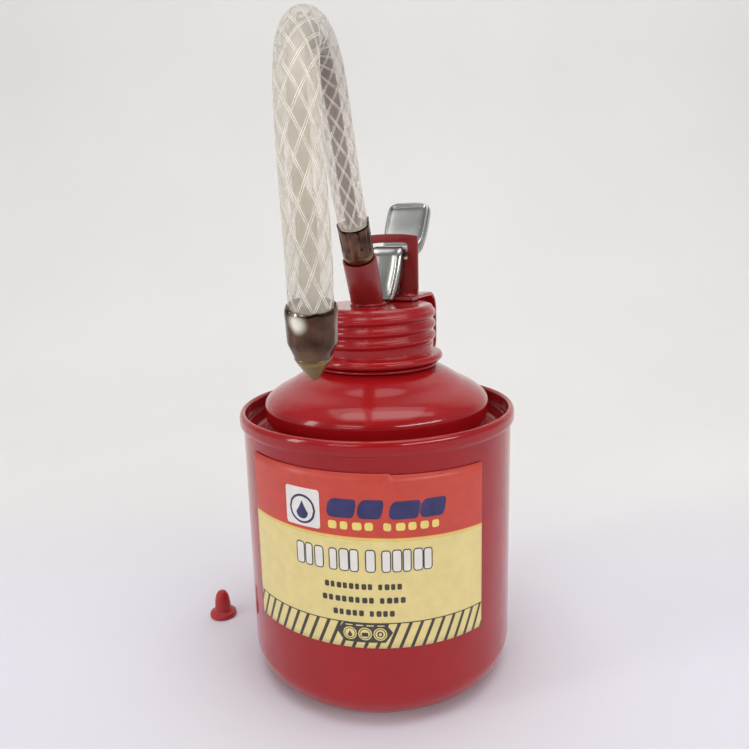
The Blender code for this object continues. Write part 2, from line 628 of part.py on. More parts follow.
def ball(name, radius, place):
    half = arc(0, 0, radius, -90, 90, 8)
    return lathe(name, half, steel(), 16, place)


def suction_tube():
    profile = [(2.0, 9.0), (3.0, 9.0), (3.0, 51.7), (2.0, 51.7)]
    return lathe("suction_tube", profile, brass(), 20, on_pump())


def strainer():
    cup = [(0, 4.4), (4.0, 4.4), (4.4, 4.8), (4.4, 12.0), (3.4, 12.0), (3.4, 5.4), (0, 5.4)]
    return lathe("strainer", cup, brass(), 20, on_pump())


def outlet_nipple():
    tube = [(1.5, 127.05), (2.3, 127.05), (2.3, 129.4), (1.5, 129.4)]
    return lathe("outlet_nipple", tube, brass(), 20, Matrix.Translation((SPOUT_X, SPOUT_Y, 0)))


# --- assembly --------------------------------------------------------------------------------------

def joint_empty(name, x, y, z):
    empty = bpy.data.objects.new(name, None)
    empty.location = Vector((x, y, z)) * MM
    bpy.context.scene.collection.objects.link(empty)
    return empty


def attach(empty, pieces):
    """Parent pieces to an empty on their joint's axis without moving them."""
    bpy.context.view_layer.update()
    for piece in pieces:
        piece.parent = empty
        piece.matrix_parent_inverse = empty.matrix_world.inverted()


def main():
    clear_scene()
    body_shell()
    shoulder()
    neck_collar()
    label()
    gasket = cap_gasket()

    fixed = [screw_cap(), arch_bracket(), handle_strap(), spout_socket(), hose_stem(),
             socket_ferrule(), hose(), nozzle_ferrule(), nozzle_tip(), pump_block(),
             pump_barrel(), gland_bush(), packing_ring(), return_spring(), foot_valve(),
             suction_tube(), strainer(), outlet_nipple(),
             bracket_rivet("bracket_rivet_left", -RIVET_X),
             bracket_rivet("bracket_rivet_right", RIVET_X),
             headed_pin("lever_pin", PIVOT_Y, PIVOT_Z, PIVOT_RADIUS, 1.35, 8.9, 9.7)]
    plunger = [plunger_rod(),
               plain_pin("cross_pin", PUMP_Y, CROSS_PIN_Z, CROSS_PIN_RADIUS, LEVER_HALF),
               piston_ring("piston_nut", 2.4, 82.6, PISTON_LOW - GAP, steel(), 6),
               piston_ring("piston", 3.85, PISTON_LOW, 88.0, brass()),
               piston_ring("piston_washer", 3.9, 88.3, 89.5, rubber())]
    foot_ball = ball("foot_valve_ball", 2.4, on_pump(FOOT_BALL_Z))
    outlet_ball = ball("outlet_valve_ball", 1.8, Matrix.Translation((SPOUT_X, SPOUT_Y, OUTLET_BALL_Z)))

    head_axis = joint_empty("head_axis", 0, 0, CAP_TOP)
    attach(head_axis, fixed)
    pivots = {"gasket_line": ((0, 0, NECK_TOP), [gasket]),
              "lever_pivot": ((0, PIVOT_Y, PIVOT_Z), [lever()]),
              "plunger_line": ((0, PUMP_Y, CROSS_PIN_Z), plunger),
              "foot_ball_line": ((0, PUMP_Y, FOOT_BALL_Z), [foot_ball]),
              "outlet_ball_line": ((SPOUT_X, SPOUT_Y, OUTLET_BALL_Z), [outlet_ball])}
    for name, (spot, pieces) in pivots.items():
        empty = joint_empty(name, *spot)
        attach(empty, pieces)
        attach(head_axis, [empty])
    attach(joint_empty("nozzle_cap_line", NOZZLE_CAP_X, NOZZLE_CAP_Y, 0), [nozzle_cap()])


main()
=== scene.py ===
"""Looks for the thumb-lever oil can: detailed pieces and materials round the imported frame."""
import math
import random

import bmesh
import bpy
from mathutils import Matrix, Vector, noise


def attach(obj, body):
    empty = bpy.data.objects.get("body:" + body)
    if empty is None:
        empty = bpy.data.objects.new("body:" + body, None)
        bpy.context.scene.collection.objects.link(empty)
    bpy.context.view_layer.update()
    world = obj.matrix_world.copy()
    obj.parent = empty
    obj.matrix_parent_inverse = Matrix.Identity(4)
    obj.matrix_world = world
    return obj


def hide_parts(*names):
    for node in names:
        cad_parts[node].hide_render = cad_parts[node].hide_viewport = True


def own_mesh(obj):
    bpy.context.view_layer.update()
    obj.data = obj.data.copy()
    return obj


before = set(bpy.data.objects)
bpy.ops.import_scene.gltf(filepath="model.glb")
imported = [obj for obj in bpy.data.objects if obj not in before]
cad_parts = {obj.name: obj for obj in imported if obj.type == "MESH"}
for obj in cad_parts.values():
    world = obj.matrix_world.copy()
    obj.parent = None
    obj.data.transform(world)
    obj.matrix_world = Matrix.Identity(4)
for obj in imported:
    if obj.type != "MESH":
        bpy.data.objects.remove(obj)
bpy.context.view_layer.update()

MM = 0.001
TAU = 2 * math.pi

# Sizes in millimetres, as in the CAD.
BODY_R, BODY_WALL, CORNER_R, RIM_R = 46.0, 0.8, 11.5, 47.25
PLATE_Z, PUMP_Y = 128.1, 10.8
THREAD_PITCH, THREAD_CREST, THREAD_FACING = 3.8, 124.1, -67.0
SPOUT_FOOT, SPOUT_LEAN, SPOUT_TURN = (-1.2, -2.5, PLATE_Z), 30.0, 8.5
SPOUT_LENGTH, SPOUT_R = 17.9, 5.5
HOSE_ROUTE = [
    (1.0, -17.3, 154.05), (1.7, -22.8, 163.9), (2.6, -27.4, 172.5), (3.9, -32.7, 180.5),
    (5.8, -39.2, 187.6), (8.3, -47.0, 192.9), (10.9, -55.8, 196.0), (13.7, -65.1, 196.4),
    (16.7, -74.2, 194.3), (19.7, -82.2, 189.7), (22.5, -88.6, 183.0), (24.9, -93.2, 174.7),
    (26.6, -95.9, 165.5), (27.6, -97.0, 155.8), (27.5, -96.3, 146.1), (26.2, -93.8, 136.8),
]
HOSE_R, HOSE_BORE_R = 4.6, 2.05
BRAID_STRANDS, BRAID_LEAD = 8, 62.0
NOZZLE_AXIS = Vector((-0.13, 0.25, -0.96))
PIVOT_Y, PIVOT_Z = 17.4, 144.2
ARCH_FRONT, ARCH_BACK, ARCH_HALF, ARCH_TOP = 14.3, 15.7, 10.7, 151.0
LEVER_HALF, PLUNGER_STROKE = 6.2, 2.52
HANDLE_HALF, HANDLE_SHEET = 10.2, 1.4
EAR_INNER, EAR_OUTER = 7.2, 8.6
NOZZLE_CAP_SPOT = (-68.6, -4.6, 0)
VIEW_TURN = math.radians(23.0)      # heading of the camera and of the stage
FOCAL_LENGTH, SENSOR_WIDTH = 32.8085, 36.0


# --- mesh helpers -------------------------------------------------------------------------------

def make(name, verts, faces, mats, sharp=35.0, indices=None):
    """Smooth-shaded object from points in millimetres."""
    mesh = bpy.data.meshes.new(name)
    mesh.from_pydata([Vector(v) * MM for v in verts], [], faces)
    mats = mats if isinstance(mats, (list, tuple)) else [mats]
    for mat in mats:
        mesh.materials.append(mat)
    if indices:
        mesh.polygons.foreach_set("material_index", indices)
    bm = bmesh.new()
    bm.from_mesh(mesh)
    bmesh.ops.remove_doubles(bm, verts=bm.verts, dist=1e-7)
    bmesh.ops.recalc_face_normals(bm, faces=bm.faces)
    bm.to_mesh(mesh)
    bm.free()
    mesh.shade_smooth()
    mesh.set_sharp_from_angle(angle=math.radians(sharp))
    obj = bpy.data.objects.new(name, mesh)
    bpy.context.scene.collection.objects.link(obj)
    return obj


def loft(name, rings, mat, wrap=True, ends="fan", sharp=35.0, loop=False):
    """Skin a list of rings. wrap closes each ring, loop joins the last ring to the first."""
    verts, faces = [v for ring in rings for v in ring], []
    n = len(rings[0])
    spans = len(rings) if loop else len(rings) - 1
    for i in range(spans):
        a, b = i * n, ((i + 1) % len(rings)) * n
        for k in range(n if wrap else n - 1):
            j = (k + 1) % n
            faces.append((a + k, a + j, b + j, b + k))
    if ends == "fan" and not loop:
        faces.append(tuple(range(n)))
        faces.append(tuple(range((len(rings) - 1) * n, len(rings) * n)))
    return make(name, verts, faces, mat, sharp)


def lathe(name, profile, mat, segments=128, place=None, closed=True, sharp=35.0, wobble=None):
    """Turn a (radius, z) outline round Z; wobble(angle, r, z) may change the radius."""
    verts, rows, faces = [], [], []
    for r, z in profile:
        if r < 1e-6:
            rows.append([len(verts)] * segments)
            verts.append(Vector((0, 0, z)))
            continue
        rows.append(list(range(len(verts), len(verts) + segments)))
        for k in range(segments):
            turn = TAU * k / segments
            radius = wobble(turn, r, z) if wobble else r
            verts.append(Vector((radius * math.cos(turn), radius * math.sin(turn), z)))
    pairs = list(zip(rows, rows[1:])) + ([(rows[-1], rows[0])] if closed else [])
    for a, b in pairs:
        for k in range(segments):
            j = (k + 1) % segments
            face = list(dict.fromkeys((a[k], a[j], b[j], b[k])))
            if len(face) > 2:
                faces.append(face)
    if place:
        verts = [place @ v for v in verts]
    return make(name, verts, faces, mat, sharp)


def rounded(points, radius, steps=4, closed=True):
    """Replace each corner of an outline by a small curve. radius may be one per point."""
    result, count = [], len(points)
    for i, point in enumerate(points):
        size = radius[i] if isinstance(radius, (list, tuple)) else radius
        if (not closed and i in (0, count - 1)) or size <= 0:
            result.append(tuple(point))
            continue
        here, before, after = Vector(point), Vector(points[i - 1]), Vector(points[(i + 1) % count])
        back, ahead = before - here, after - here
        reach = min(size, back.length * 0.48, ahead.length * 0.48)
        a, b = here + back.normalized() * reach, here + ahead.normalized() * reach
        for s in range(steps + 1):
            t = s / steps
            result.append(tuple(a * (1 - t) ** 2 + here * 2 * t * (1 - t) + b * t ** 2))
    return result


def smooth_line(points, per_span=12):
    """Smooth curve through the points, sampled finely."""
    points = [Vector(p) for p in points]
    ends = [points[0] * 2 - points[1]] + points + [points[-1] * 2 - points[-2]]
    samples = []
    for a, b, c, d in zip(ends, ends[1:], ends[2:], ends[3:]):
        for i in range(per_span):
            t = i / per_span
            samples.append(0.5 * (2 * b + (c - a) * t + (2 * a - 5 * b + 4 * c - d) * t ** 2
                                  + (3 * b - a - 3 * c + d) * t ** 3))
    return samples + [points[-1]]


def smooth_outline(points, per_span):
    return [tuple(p) for p in smooth_line(points, per_span)]


def arc(cx, cy, radius, start, end, steps):
    """Points on a circle, angles in degrees."""
    angles = [math.radians(start + (end - start) * i / steps) for i in range(steps + 1)]
    return [(cx + radius * math.cos(a), cy + radius * math.sin(a)) for a in angles]


def thick(path, depth):
    """Close a sheet outline: the path, then its offset on the right-hand side."""
    points, offset = [Vector(p) for p in path], []
    for i, point in enumerate(points):
        along = points[min(i + 1, len(points) - 1)] - points[max(i - 1, 0)]
        along.normalize()
        offset.append(point + Vector((along.y, -along.x)) * depth)
    return [tuple(p) for p in points + offset[::-1]]


def plate(name, outlines, low, high, mat, to_space, edge=0.25):
    """Flat plate with rounded edges and holes, from 2-D outlines; to_space maps (u, v, w) to mm."""
    curve = bpy.data.curves.new(name, "CURVE")
    curve.dimensions, curve.fill_mode = "2D", "BOTH"
    curve.bevel_depth, curve.bevel_resolution = edge, 3
    curve.extrude, curve.offset = (high - low) / 2 - edge, -edge
    for outline in outlines:
        spline = curve.splines.new("POLY")
        spline.points.add(len(outline) - 1)
        for point, (u, v) in zip(spline.points, outline):
            point.co = (u, v, 0, 1)
        spline.use_cyclic_u = True
    temp = bpy.data.objects.new(name + "_curve", curve)
    bpy.context.scene.collection.objects.link(temp)
    bpy.context.view_layer.update()
    flat = temp.evaluated_get(bpy.context.evaluated_depsgraph_get()).to_mesh()
    verts = [to_space(v.co.x, v.co.y, v.co.z + (low + high) / 2) for v in flat.vertices]
    faces = [tuple(p.vertices) for p in flat.polygons]
    obj = make(name, verts, faces, mat)
    temp.evaluated_get(bpy.context.evaluated_depsgraph_get()).to_mesh_clear()
    bpy.data.objects.remove(temp, do_unlink=True)
    return obj


def apply_modifiers(obj):
    """Bake an object's modifiers into its mesh."""
    bpy.context.view_layer.update()
    graph = bpy.context.evaluated_depsgraph_get()
    baked = bpy.data.meshes.new_from_object(obj.evaluated_get(graph))
    obj.modifiers.clear()
    obj.data = baked


def join(name, pieces):
    """Merge finished pieces into one object."""
    bm, mats = bmesh.new(), []
    for piece in pieces:
        shift = []
        for mat in piece.data.materials:
            if mat not in mats:
                mats.append(mat)
            shift.append(mats.index(mat))
        start = len(bm.faces)
        bm.from_mesh(piece.data)
        bm.faces.ensure_lookup_table()
        for face in bm.faces[start:]:
            face.material_index = shift[face.material_index]
        bpy.data.objects.remove(piece, do_unlink=True)
    mesh = bpy.data.meshes.new(name)
    bm.to_mesh(mesh)
    bm.free()
    for mat in mats:
        mesh.materials.append(mat)
    obj = bpy.data.objects.new(name, mesh)
    bpy.context.scene.collection.objects.link(obj)
    return obj


def place_piece(obj, body, slot, *nodes):
    """Say which body a piece rides on and the CAD nodes it stands for; slot is not used."""
    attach(obj, body)
    if nodes:
        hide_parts(*nodes)
    return obj


def line_frame(foot, direction):
    turn = Vector((0, 0, 1)).rotation_difference(Vector(direction).normalized())
    return Matrix.Translation(foot) @ turn.to_matrix().to_4x4()


def spout_line():
    lean, turn = math.radians(SPOUT_LEAN), math.radians(SPOUT_TURN)
    level = math.sin(lean)
    return line_frame(SPOUT_FOOT, (level * math.sin(turn), -level * math.cos(turn), math.cos(lean)))


def nozzle_line():
    return line_frame(HOSE_ROUTE[-1], NOZZLE_AXIS)


# --- materials ------------------------------------------------------------------------------------

def surface(name, color, rough, metal=0.0, scale=300.0, spread=0.06, rough_spread=0.05,
            bump=0.05, bump_scale=None, coat=0.0, dark=None, stretch=None, **sockets):
    """Principled material whose colour, roughness and fine relief vary with procedural noise."""
    mat = bpy.data.materials.new(name)
    mat.use_nodes = True
    nodes, links = mat.node_tree.nodes, mat.node_tree.links
    shader = nodes["Principled BSDF"]
    coords = nodes.new("ShaderNodeTexCoord")
    mapping = nodes.new("ShaderNodeMapping")
    mapping.inputs["Scale"].default_value = stretch or (1, 1, 1)
    links.new(coords.outputs["Object"], mapping.inputs["Vector"])
    cloud = nodes.new("ShaderNodeTexNoise")
    cloud.inputs["Scale"].default_value = scale
    cloud.inputs["Detail"].default_value = 4.0
    links.new(mapping.outputs["Vector"], cloud.inputs["Vector"])
    ramp = nodes.new("ShaderNodeValToRGB")
    low = dark or tuple(c * (1 - spread) for c in color)
    high = tuple(min(1, c * (1 + spread)) for c in color)
    ramp.color_ramp.elements[0].position, ramp.color_ramp.elements[1].position = 0.35, 0.65
    ramp.color_ramp.elements[0].color = (*low, 1)
    ramp.color_ramp.elements[1].color = (*high, 1)
    links.new(cloud.outputs["Fac"], ramp.inputs["Fac"])
    links.new(ramp.outputs["Color"], shader.inputs["Base Color"])
    spreader = nodes.new("ShaderNodeMapRange")
    spreader.inputs["To Min"].default_value = max(0.02, rough - rough_spread)
    spreader.inputs["To Max"].default_value = rough + rough_spread
    links.new(cloud.outputs["Fac"], spreader.inputs["Value"])
    links.new(spreader.outputs["Result"], shader.inputs["Roughness"])
    grain = nodes.new("ShaderNodeTexNoise")
    grain.inputs["Scale"].default_value = bump_scale or scale * 3
    grain.inputs["Detail"].default_value = 3.0
    links.new(mapping.outputs["Vector"], grain.inputs["Vector"])
    relief = nodes.new("ShaderNodeBump")
    relief.inputs["Strength"].default_value = bump
    relief.inputs["Distance"].default_value = 0.0002
    links.new(grain.outputs["Fac"], relief.inputs["Height"])
    links.new(relief.outputs["Normal"], shader.inputs["Normal"])
    shader.inputs["Metallic"].default_value = metal
    shader.inputs["Coat Weight"].default_value = coat
    shader.inputs["Coat Roughness"].default_value = 0.06
    for key, value in sockets.items():
        shader.inputs[key.replace("_", " ")].default_value = value
    return mat


ENAMEL = surface("red_enamel", (0.37, 0.007, 0.010), 0.20, scale=60, spread=0.06, bump=0.05,
                 bump_scale=260, coat=0.5, Specular_IOR_Level=0.2)
# Darker copy of the red enamel: painted shade on the arch and the spout socket, which wear the same red
# paint.
ENAMEL_SHADED = surface("red_enamel_painted_shade", (0.25, 0.013, 0.013), 0.34, scale=60, spread=0.08, bump=0.12,
                      bump_scale=260, coat=0.15)
PLATED = surface("plated_steel", (0.40, 0.405, 0.385), 0.26, 1.0, scale=120, spread=0.07,
                 rough_spread=0.06, bump=0.02, bump_scale=500)
BRASS = surface("turned_brass", (0.22, 0.155, 0.065), 0.22, 1.0, scale=200, spread=0.12,
                bump=0.2, bump_scale=500, stretch=(1, 1, 6))
BRONZE = surface("tarnished_bronze", (0.15, 0.085, 0.055), 0.17, 1.0, scale=160, spread=0.2,
                 dark=(0.055, 0.030, 0.024), rough_spread=0.10, bump=0.25, bump_scale=420)
GILT = surface("bronze_lower_band", (0.19, 0.12, 0.055), 0.24, 1.0, scale=180, spread=0.15,
               dark=(0.12, 0.07, 0.035), rough_spread=0.08, bump=0.2, bump_scale=420)
STEEL = surface("machined_steel", (0.45, 0.45, 0.46), 0.34, 1.0, scale=260, bump=0.12)
RUBBER = surface("black_rubber", (0.03, 0.03, 0.032), 0.75, scale=300, spread=0.2, bump=0.3)
RED_RUBBER = surface("red_rubber", (0.44, 0.018, 0.018), 0.42, scale=250, spread=0.12, bump=0.15)
PVC = surface("clear_hose", (0.86, 0.78, 0.645), 0.20, scale=110, spread=0.06, rough_spread=0.04,
              bump=0.12, bump_scale=240, coat=0.3, Alpha=0.38)
# Painted shade: a dark rod for the shade inside the hose's hollow bore.
BORE_SHADE = surface("hose_bore_painted_shade", (0.012, 0.009, 0.007), 0.6, scale=200, spread=0.2, bump=0.1)
YARN = surface("braid_yarn", (0.97, 0.93, 0.84), 0.45, scale=900, spread=0.05, bump=0.3)
INK_ROUGH = dict(scale=220, rough_spread=0.04, bump=0.12, bump_scale=500, coat=0.12)
PAPER_RED = surface("label_red", (0.62, 0.062, 0.036), 0.42, spread=0.05, **INK_ROUGH)
PAPER_YELLOW = surface("label_yellow", (0.84, 0.70, 0.29), 0.42, spread=0.04, **INK_ROUGH)
INK_GOLD = surface("label_gold_line", (0.85, 0.50, 0.10), 0.42, spread=0.04, **INK_ROUGH)
INK_DARK = surface("label_dark", (0.055, 0.045, 0.035), 0.42, spread=0.2, **INK_ROUGH)
INK_NAVY = surface("label_navy", (0.030, 0.028, 0.13), 0.42, spread=0.2, **INK_ROUGH)
INK_WHITE = surface("label_white", (0.86, 0.83, 0.78), 0.42, spread=0.04, **INK_ROUGH)
INK_PALE = surface("label_pale_yellow", (0.90, 0.72, 0.20), 0.42, spread=0.04, **INK_ROUGH)


def tint(mat, operation, vector, start, end, color):
    """Blend the base colour to another one over a span along a direction or from a point, in metres."""
    nodes, links = mat.node_tree.nodes, mat.node_tree.links
    base = nodes["Principled BSDF"].inputs["Base Color"]
    coords, measure = nodes.new("ShaderNodeTexCoord"), nodes.new("ShaderNodeVectorMath")
    measure.operation = operation
    measure.inputs[1].default_value = vector
    links.new(coords.outputs["Object"], measure.inputs[0])
    span = nodes.new("ShaderNodeMapRange")
    span.interpolation_type = "SMOOTHSTEP"
    span.inputs["From Min"].default_value, span.inputs["From Max"].default_value = start, end
    links.new(measure.outputs["Value"], span.inputs["Value"])
    mix = nodes.new("ShaderNodeMix")
    mix.data_type = "RGBA"
    links.new(span.outputs["Result"], mix.inputs["Factor"])
    links.new(base.links[0].from_socket, mix.inputs[6])
    mix.inputs[7].default_value = (*color, 1)
    links.new(mix.outputs[2], base)


# The bore's painted shade gives way to cream on the leg that runs down to the nozzle, from 45 to 85 mm
# in front.
tint(BORE_SHADE, "DOT_PRODUCT", (0, -1, 0), 0.045, 0.085, (0.62, 0.58, 0.50))
# Painted shade: the clear hose and its braid turn darker along the top of their arch, from 176 to 199
# mm up.
tint(PVC, "DOT_PRODUCT", (0, 0, 1), 0.176, 0.199, (0.60, 0.54, 0.46))
tint(YARN, "DOT_PRODUCT", (0, 0, 1), 0.176, 0.199, (0.80, 0.75, 0.68))


# --- camera ---------------------------------------------------------------------------------------

def photo_camera():
    pitch, roll, yaw = map(math.radians, (11.6, -1.5, -0.12))
    forward = Vector((math.sin(yaw) * math.cos(pitch), math.cos(yaw) * math.cos(pitch),
                      -math.sin(pitch)))
    right = Vector((math.cos(yaw), -math.sin(yaw), 0))
    up = right.cross(forward)
    right, up = (right * math.cos(roll) + up * math.sin(roll),
                 up * math.cos(roll) - right * math.sin(roll))
    axes = Matrix((right, up, -forward)).transposed().to_4x4()
    spin = Matrix.Rotation(VIEW_TURN, 4, "Z")
    data = bpy.data.cameras.new("camera")
    data.sensor_width, data.lens = SENSOR_WIDTH, FOCAL_LENGTH
    data.clip_start, data.clip_end = 0.01, 20
    camera = bpy.data.objects.new("camera", data)
    bpy.context.scene.collection.objects.link(camera)
    camera.matrix_world = spin @ Matrix.Translation((0, -0.232, 0.151)) @ axes
    bpy.context.scene.camera = camera


# --- hose -----------------------------------------------------------------------------------------

def transported(path):
    """Frames along a line that don't twist: (point, side, side2, distance)."""
    frames, travelled = [], 0.0
    side = Vector((1, 0, 0))
    for i, point in enumerate(path):
        along = (path[min(i + 1, len(path) - 1)] - path[max(i - 1, 0)]).normalized()
        side = (side - along * side.dot(along)).normalized()
        if i:
            travelled += (point - path[i - 1]).length
        frames.append((point, side.copy(), along.cross(side), travelled))
    return frames


def ring_at(spot, radius, segments):
    """Circle round a line, at one of its frames."""
    point, side, other = spot[:3]
    return [point + (side * math.cos(TAU * k / segments)
                     + other * math.sin(TAU * k / segments)) * radius
            for k in range(segments)]


def resample(path, step):
    """Points at even distances along a line, its ends kept."""
    reach = [0.0]
    for a, b in zip(path, path[1:]):
        reach.append(reach[-1] + (b - a).length)
    count, spots, k = max(2, round(reach[-1] / step)), [], 0
    for i in range(count + 1):
        target = reach[-1] * i / count
        while k < len(path) - 2 and reach[k + 1] < target:
            k += 1
        t = (target - reach[k]) / max(1e-9, reach[k + 1] - reach[k])
        spots.append(path[k].lerp(path[k + 1], min(1, t)))
    return spots


def hose():
    """Clear tube, a dark rod painted as the shade inside its bore, and a braid of paired strands wound
    both ways.
    """
    fine = resample(smooth_line(HOSE_ROUTE), 1.1)
    frames = transported(fine)
    tube = loft("clear_hose", [ring_at(f, HOSE_R, 48) for f in frames], PVC)
    core = loft("hose_bore_painted_shade", [ring_at(f, HOSE_BORE_R, 24) for f in frames[1:-1]], BORE_SHADE)
    braid, radius = [], HOSE_R - 0.04
    for direction in (-1, 1):
        for s in range(BRAID_STRANDS * 2):
            pair, half = divmod(s, 2)
            start = TAU * (pair + 0.12 * half) / BRAID_STRANDS
            rings = []
            for point, side, other, travelled in frames[1:-1]:
                along = TAU * travelled / BRAID_LEAD
                turn = start + direction * along
                weave = 0.02 * direction * math.cos(BRAID_STRANDS * along)
                out = side * math.cos(turn) + other * math.sin(turn)
                across = side * -math.sin(turn) + other * math.cos(turn)
                middle = point + out * (radius + weave)
                rings.append([middle + out * 0.06, middle + across * 0.115,
                              middle - out * 0.06, middle - across * 0.115])
            braid.append(loft("strand", rings, YARN, sharp=80))
    braid = join("hose_braid", braid)
    place_piece(tube, "head", "clear_hose", "hose")
    place_piece(core, "head", "clear_hose")
    place_piece(braid, "head", "clear_hose")
    return tube, core, braid, fine


def bent_edge(turn, seed, ears):
    """Uneven torn edge of a crimped sleeve, with pointed ears at given turns."""
    ragged = noise.noise(Vector((2.2 * math.cos(turn), 2.2 * math.sin(turn), seed)))
    teeth = noise.noise(Vector((7 * math.cos(turn), 7 * math.sin(turn), seed + 5)))
    edge = 0.5 * ragged + 0.35 * teeth
    for where, tall, wide in ears:
        away = abs((turn - math.radians(where) + math.pi) % TAU - math.pi)
        edge += tall * max(0.0, 1 - away / math.radians(wide)) ** 1.3
    return edge


def crimped_sleeve(name, rows, place, seed, crimps, bore, raggedness, ears=()):
    """Sleeve from (t, radius, crimp depth, edge weight) rows, pressed in by a crimping tool."""
    segments, outer, inner = 120, [], []
    for t, radius, depth, weight in rows:
        ring, hollow = [], []
        for k in range(segments):
            turn = TAU * k / segments
            dent = depth * max(0.0, math.cos(crimps * turn + seed)) ** 1.5
            x, y = math.cos(turn), math.sin(turn)
            dent += 0.09 * noise.noise(Vector((x * 2, y * 2, t * 0.35 + seed)))
            r = radius - dent
            inside = min(bore, r - 0.25)
            z = t + weight * raggedness * bent_edge(turn, seed, ears)
            ring.append(place @ Vector((r * x, r * y, z)))
            hollow.append(place @ Vector((inside * x, inside * y, z)))
        outer.append(ring)
        inner.append(hollow)
    return loft(name, outer + inner[::-1], BRONZE, loop=True, sharp=50)


def paint_highlight(sleeve, spot, reach):
    """Painted highlight: a near-white spot blended into a sleeve's tarnished bronze colour."""
    painted_highlight = BRONZE.copy()
    painted_highlight.name = sleeve.name + "_rubbed"
    sleeve.data.materials[0] = painted_highlight
    tint(painted_highlight, "DISTANCE", spot * MM, reach, 0.2 * reach, (1.0, 0.96, 0.80))


def fittings():
    spout = spout_line()
    rows = [(15.2, 4.45, 0, 0), (17.4, 4.45, 0, 0), (18.1, 4.72, 0, 0), (18.9, 4.86, 0.05, 0)]
    rows += [(19.6 + 0.6 * i, 5.0 + 0.006 * i, 0.05 + 0.35 * (i > 4), 0) for i in range(12)]
    rows += [(26.8, 5.04, 0.34, 0.1), (27.6, 5.02, 0.24, 0.35), (28.4, 5.04, 0.20, 0.7),
             (29.2, 5.06, 0.14, 0.95), (29.7, 5.10, 0.08, 1.0)]
    sleeve = crimped_sleeve("socket_ferrule_crimped", rows, spout, 2.2, 9, 4.68, 1.0,
                            ((20, 2.4, 26), (200, 1.2, 40)))
    low_band = [p for p in sleeve.data.polygons if (spout.inverted() @ (p.center / MM)).z < 20.2]
    sleeve.data.materials.append(GILT)
    for polygon in low_band:
        polygon.material_index = 1
    place_piece(sleeve, "head", "bronze", "socket_ferrule")

    nozzle = nozzle_line()
    rows = [(-0.75, 5.05, 0.03, 0.6), (-0.3, 5.26, 0.05, 0.5), (0.3, 5.36, 0.05, 0.3),
            (1.2, 5.36, 0.08, 0.1), (2.2, 5.30, 0.12, 0)]
    rows += [(2.8 + 0.5 * i, 5.27 - 0.012 * i, 0.14, 0) for i in range(9)]
    rows += [(7.4, 5.02, 0.1, 0), (8.1, 4.74, 0.06, 0), (8.9, 4.42, 0.02, 0), (9.6, 4.16, 0, 0),
             (9.9, 4.05, 0, 0)]
    end = crimped_sleeve("nozzle_ferrule_crimped", rows, nozzle, 1.4, 6, 4.68, 0.6)
    # Painted highlight on the front of the nozzle sleeve.
    paint_highlight(end, nozzle @ Vector((0, 0, 2.6)) + Vector((-0.10, -0.99, 0)) * 5.6, 0.0028)
    place_piece(end, "head", "bronze", "nozzle_ferrule")

    tip = rounded([(0.6, 2.0), (3.0, 2.0), (3.0, 9.6), (3.95, 9.95), (4.02, 10.5), (3.8, 11.0),
                   (1.15, 15.3), (0.95, 15.6), (0.6, 15.6)], 0.18)
    nozzle_tip = lathe("nozzle_tip_turned", tip, BRASS, 72, nozzle)
    place_piece(nozzle_tip, "head", "brass", "nozzle_tip")
    return end, nozzle_tip


# --- can ------------------------------------------------------------------------------------------

def can():
    flat, wall = BODY_R - CORNER_R, BODY_R - BODY_WALL
    floor = [(0, 0.9), (27.5, 0.9), (30.0, 0.45), (32.0, 0.08), (flat, 0)]
    outer = arc(flat, CORNER_R, CORNER_R, -88, 0, 26)
    sides = [(BODY_R, 30), (BODY_R, 60), (BODY_R, 85), (BODY_R, 88.0)]
    roll = rounded([(46.0, 88.3), (46.2, 88.75), (47.0, 89.0), (RIM_R, 89.9), (RIM_R, 92.2),
                    (46.75, 93.2), (46.1, 93.55), (45.4, 93.35), (45.0, 92.6), (45.2, 91.4)],
                   0.5, 3, closed=False)
    inner = [(wall, 80), (wall, 40)] + arc(flat, CORNER_R, CORNER_R - BODY_WALL, 0, -88, 14)
    body = lathe("can_body", floor + outer + sides + roll + inner + [(30, 1.7), (0, 1.7)], ENAMEL,
                 192, closed=False, sharp=60)
    place_piece(body, "can", "red_enamel", "body_shell")

    dome = [(20.9, 107.0), (23.4, 105.85), (26.4, 104.2), (29.1, 102.5), (31.3, 101.3), (33.6, 100.1),
            (35.5, 98.85), (37.4, 97.2), (38.45, 95.4), (38.65, 93.8), (38.35, 91.4), (37.9, 88.6),
            (37.95, 86.3), (38.7, 84.5), (40.2, 83.75), (42.0, 83.75), (43.4, 84.5), (44.05, 86.0),
            (44.15, 88.3)]
    outline = thick([(19.1, 107.1)] + smooth_outline(dome, 5), BODY_WALL)
    place_piece(lathe("can_shoulder", outline, ENAMEL, 192, sharp=60), "can", "red_enamel",
                "shoulder")

    lip = smooth_outline([(20.3, 107.3), (21.05, 107.45), (21.35, 107.85), (21.1, 108.3),
                          (20.4, 108.55), (19.6, 108.6), (18.9, 108.75), (18.62, 109.4)], 4)
    ring = [(17.3, 107.3)] + lip + [(18.6, 123.7), (18.3, 124.0), (17.3, 124.0)]
    place_piece(lathe("neck_ring", ring, ENAMEL, 160), "can", "red_enamel", "neck_collar")


def thread_ridge(turn, z):
    """Height of the rolled right-hand thread, 0 to 1."""
    facing = math.radians(THREAD_FACING)
    phase = ((z - THREAD_CREST) / THREAD_PITCH - (turn - facing) / TAU) % 1.0
    ridge = 0.5 + 0.5 * math.cos(TAU * phase)
    run_in = min(1.0, max(0.0, (z - 114.0) / 1.6)) * min(1.0, max(0.0, (127.3 - z) / 1.3))
    return (1 - (1 - ridge) ** 1.5) * run_in * run_in * (3 - 2 * run_in)


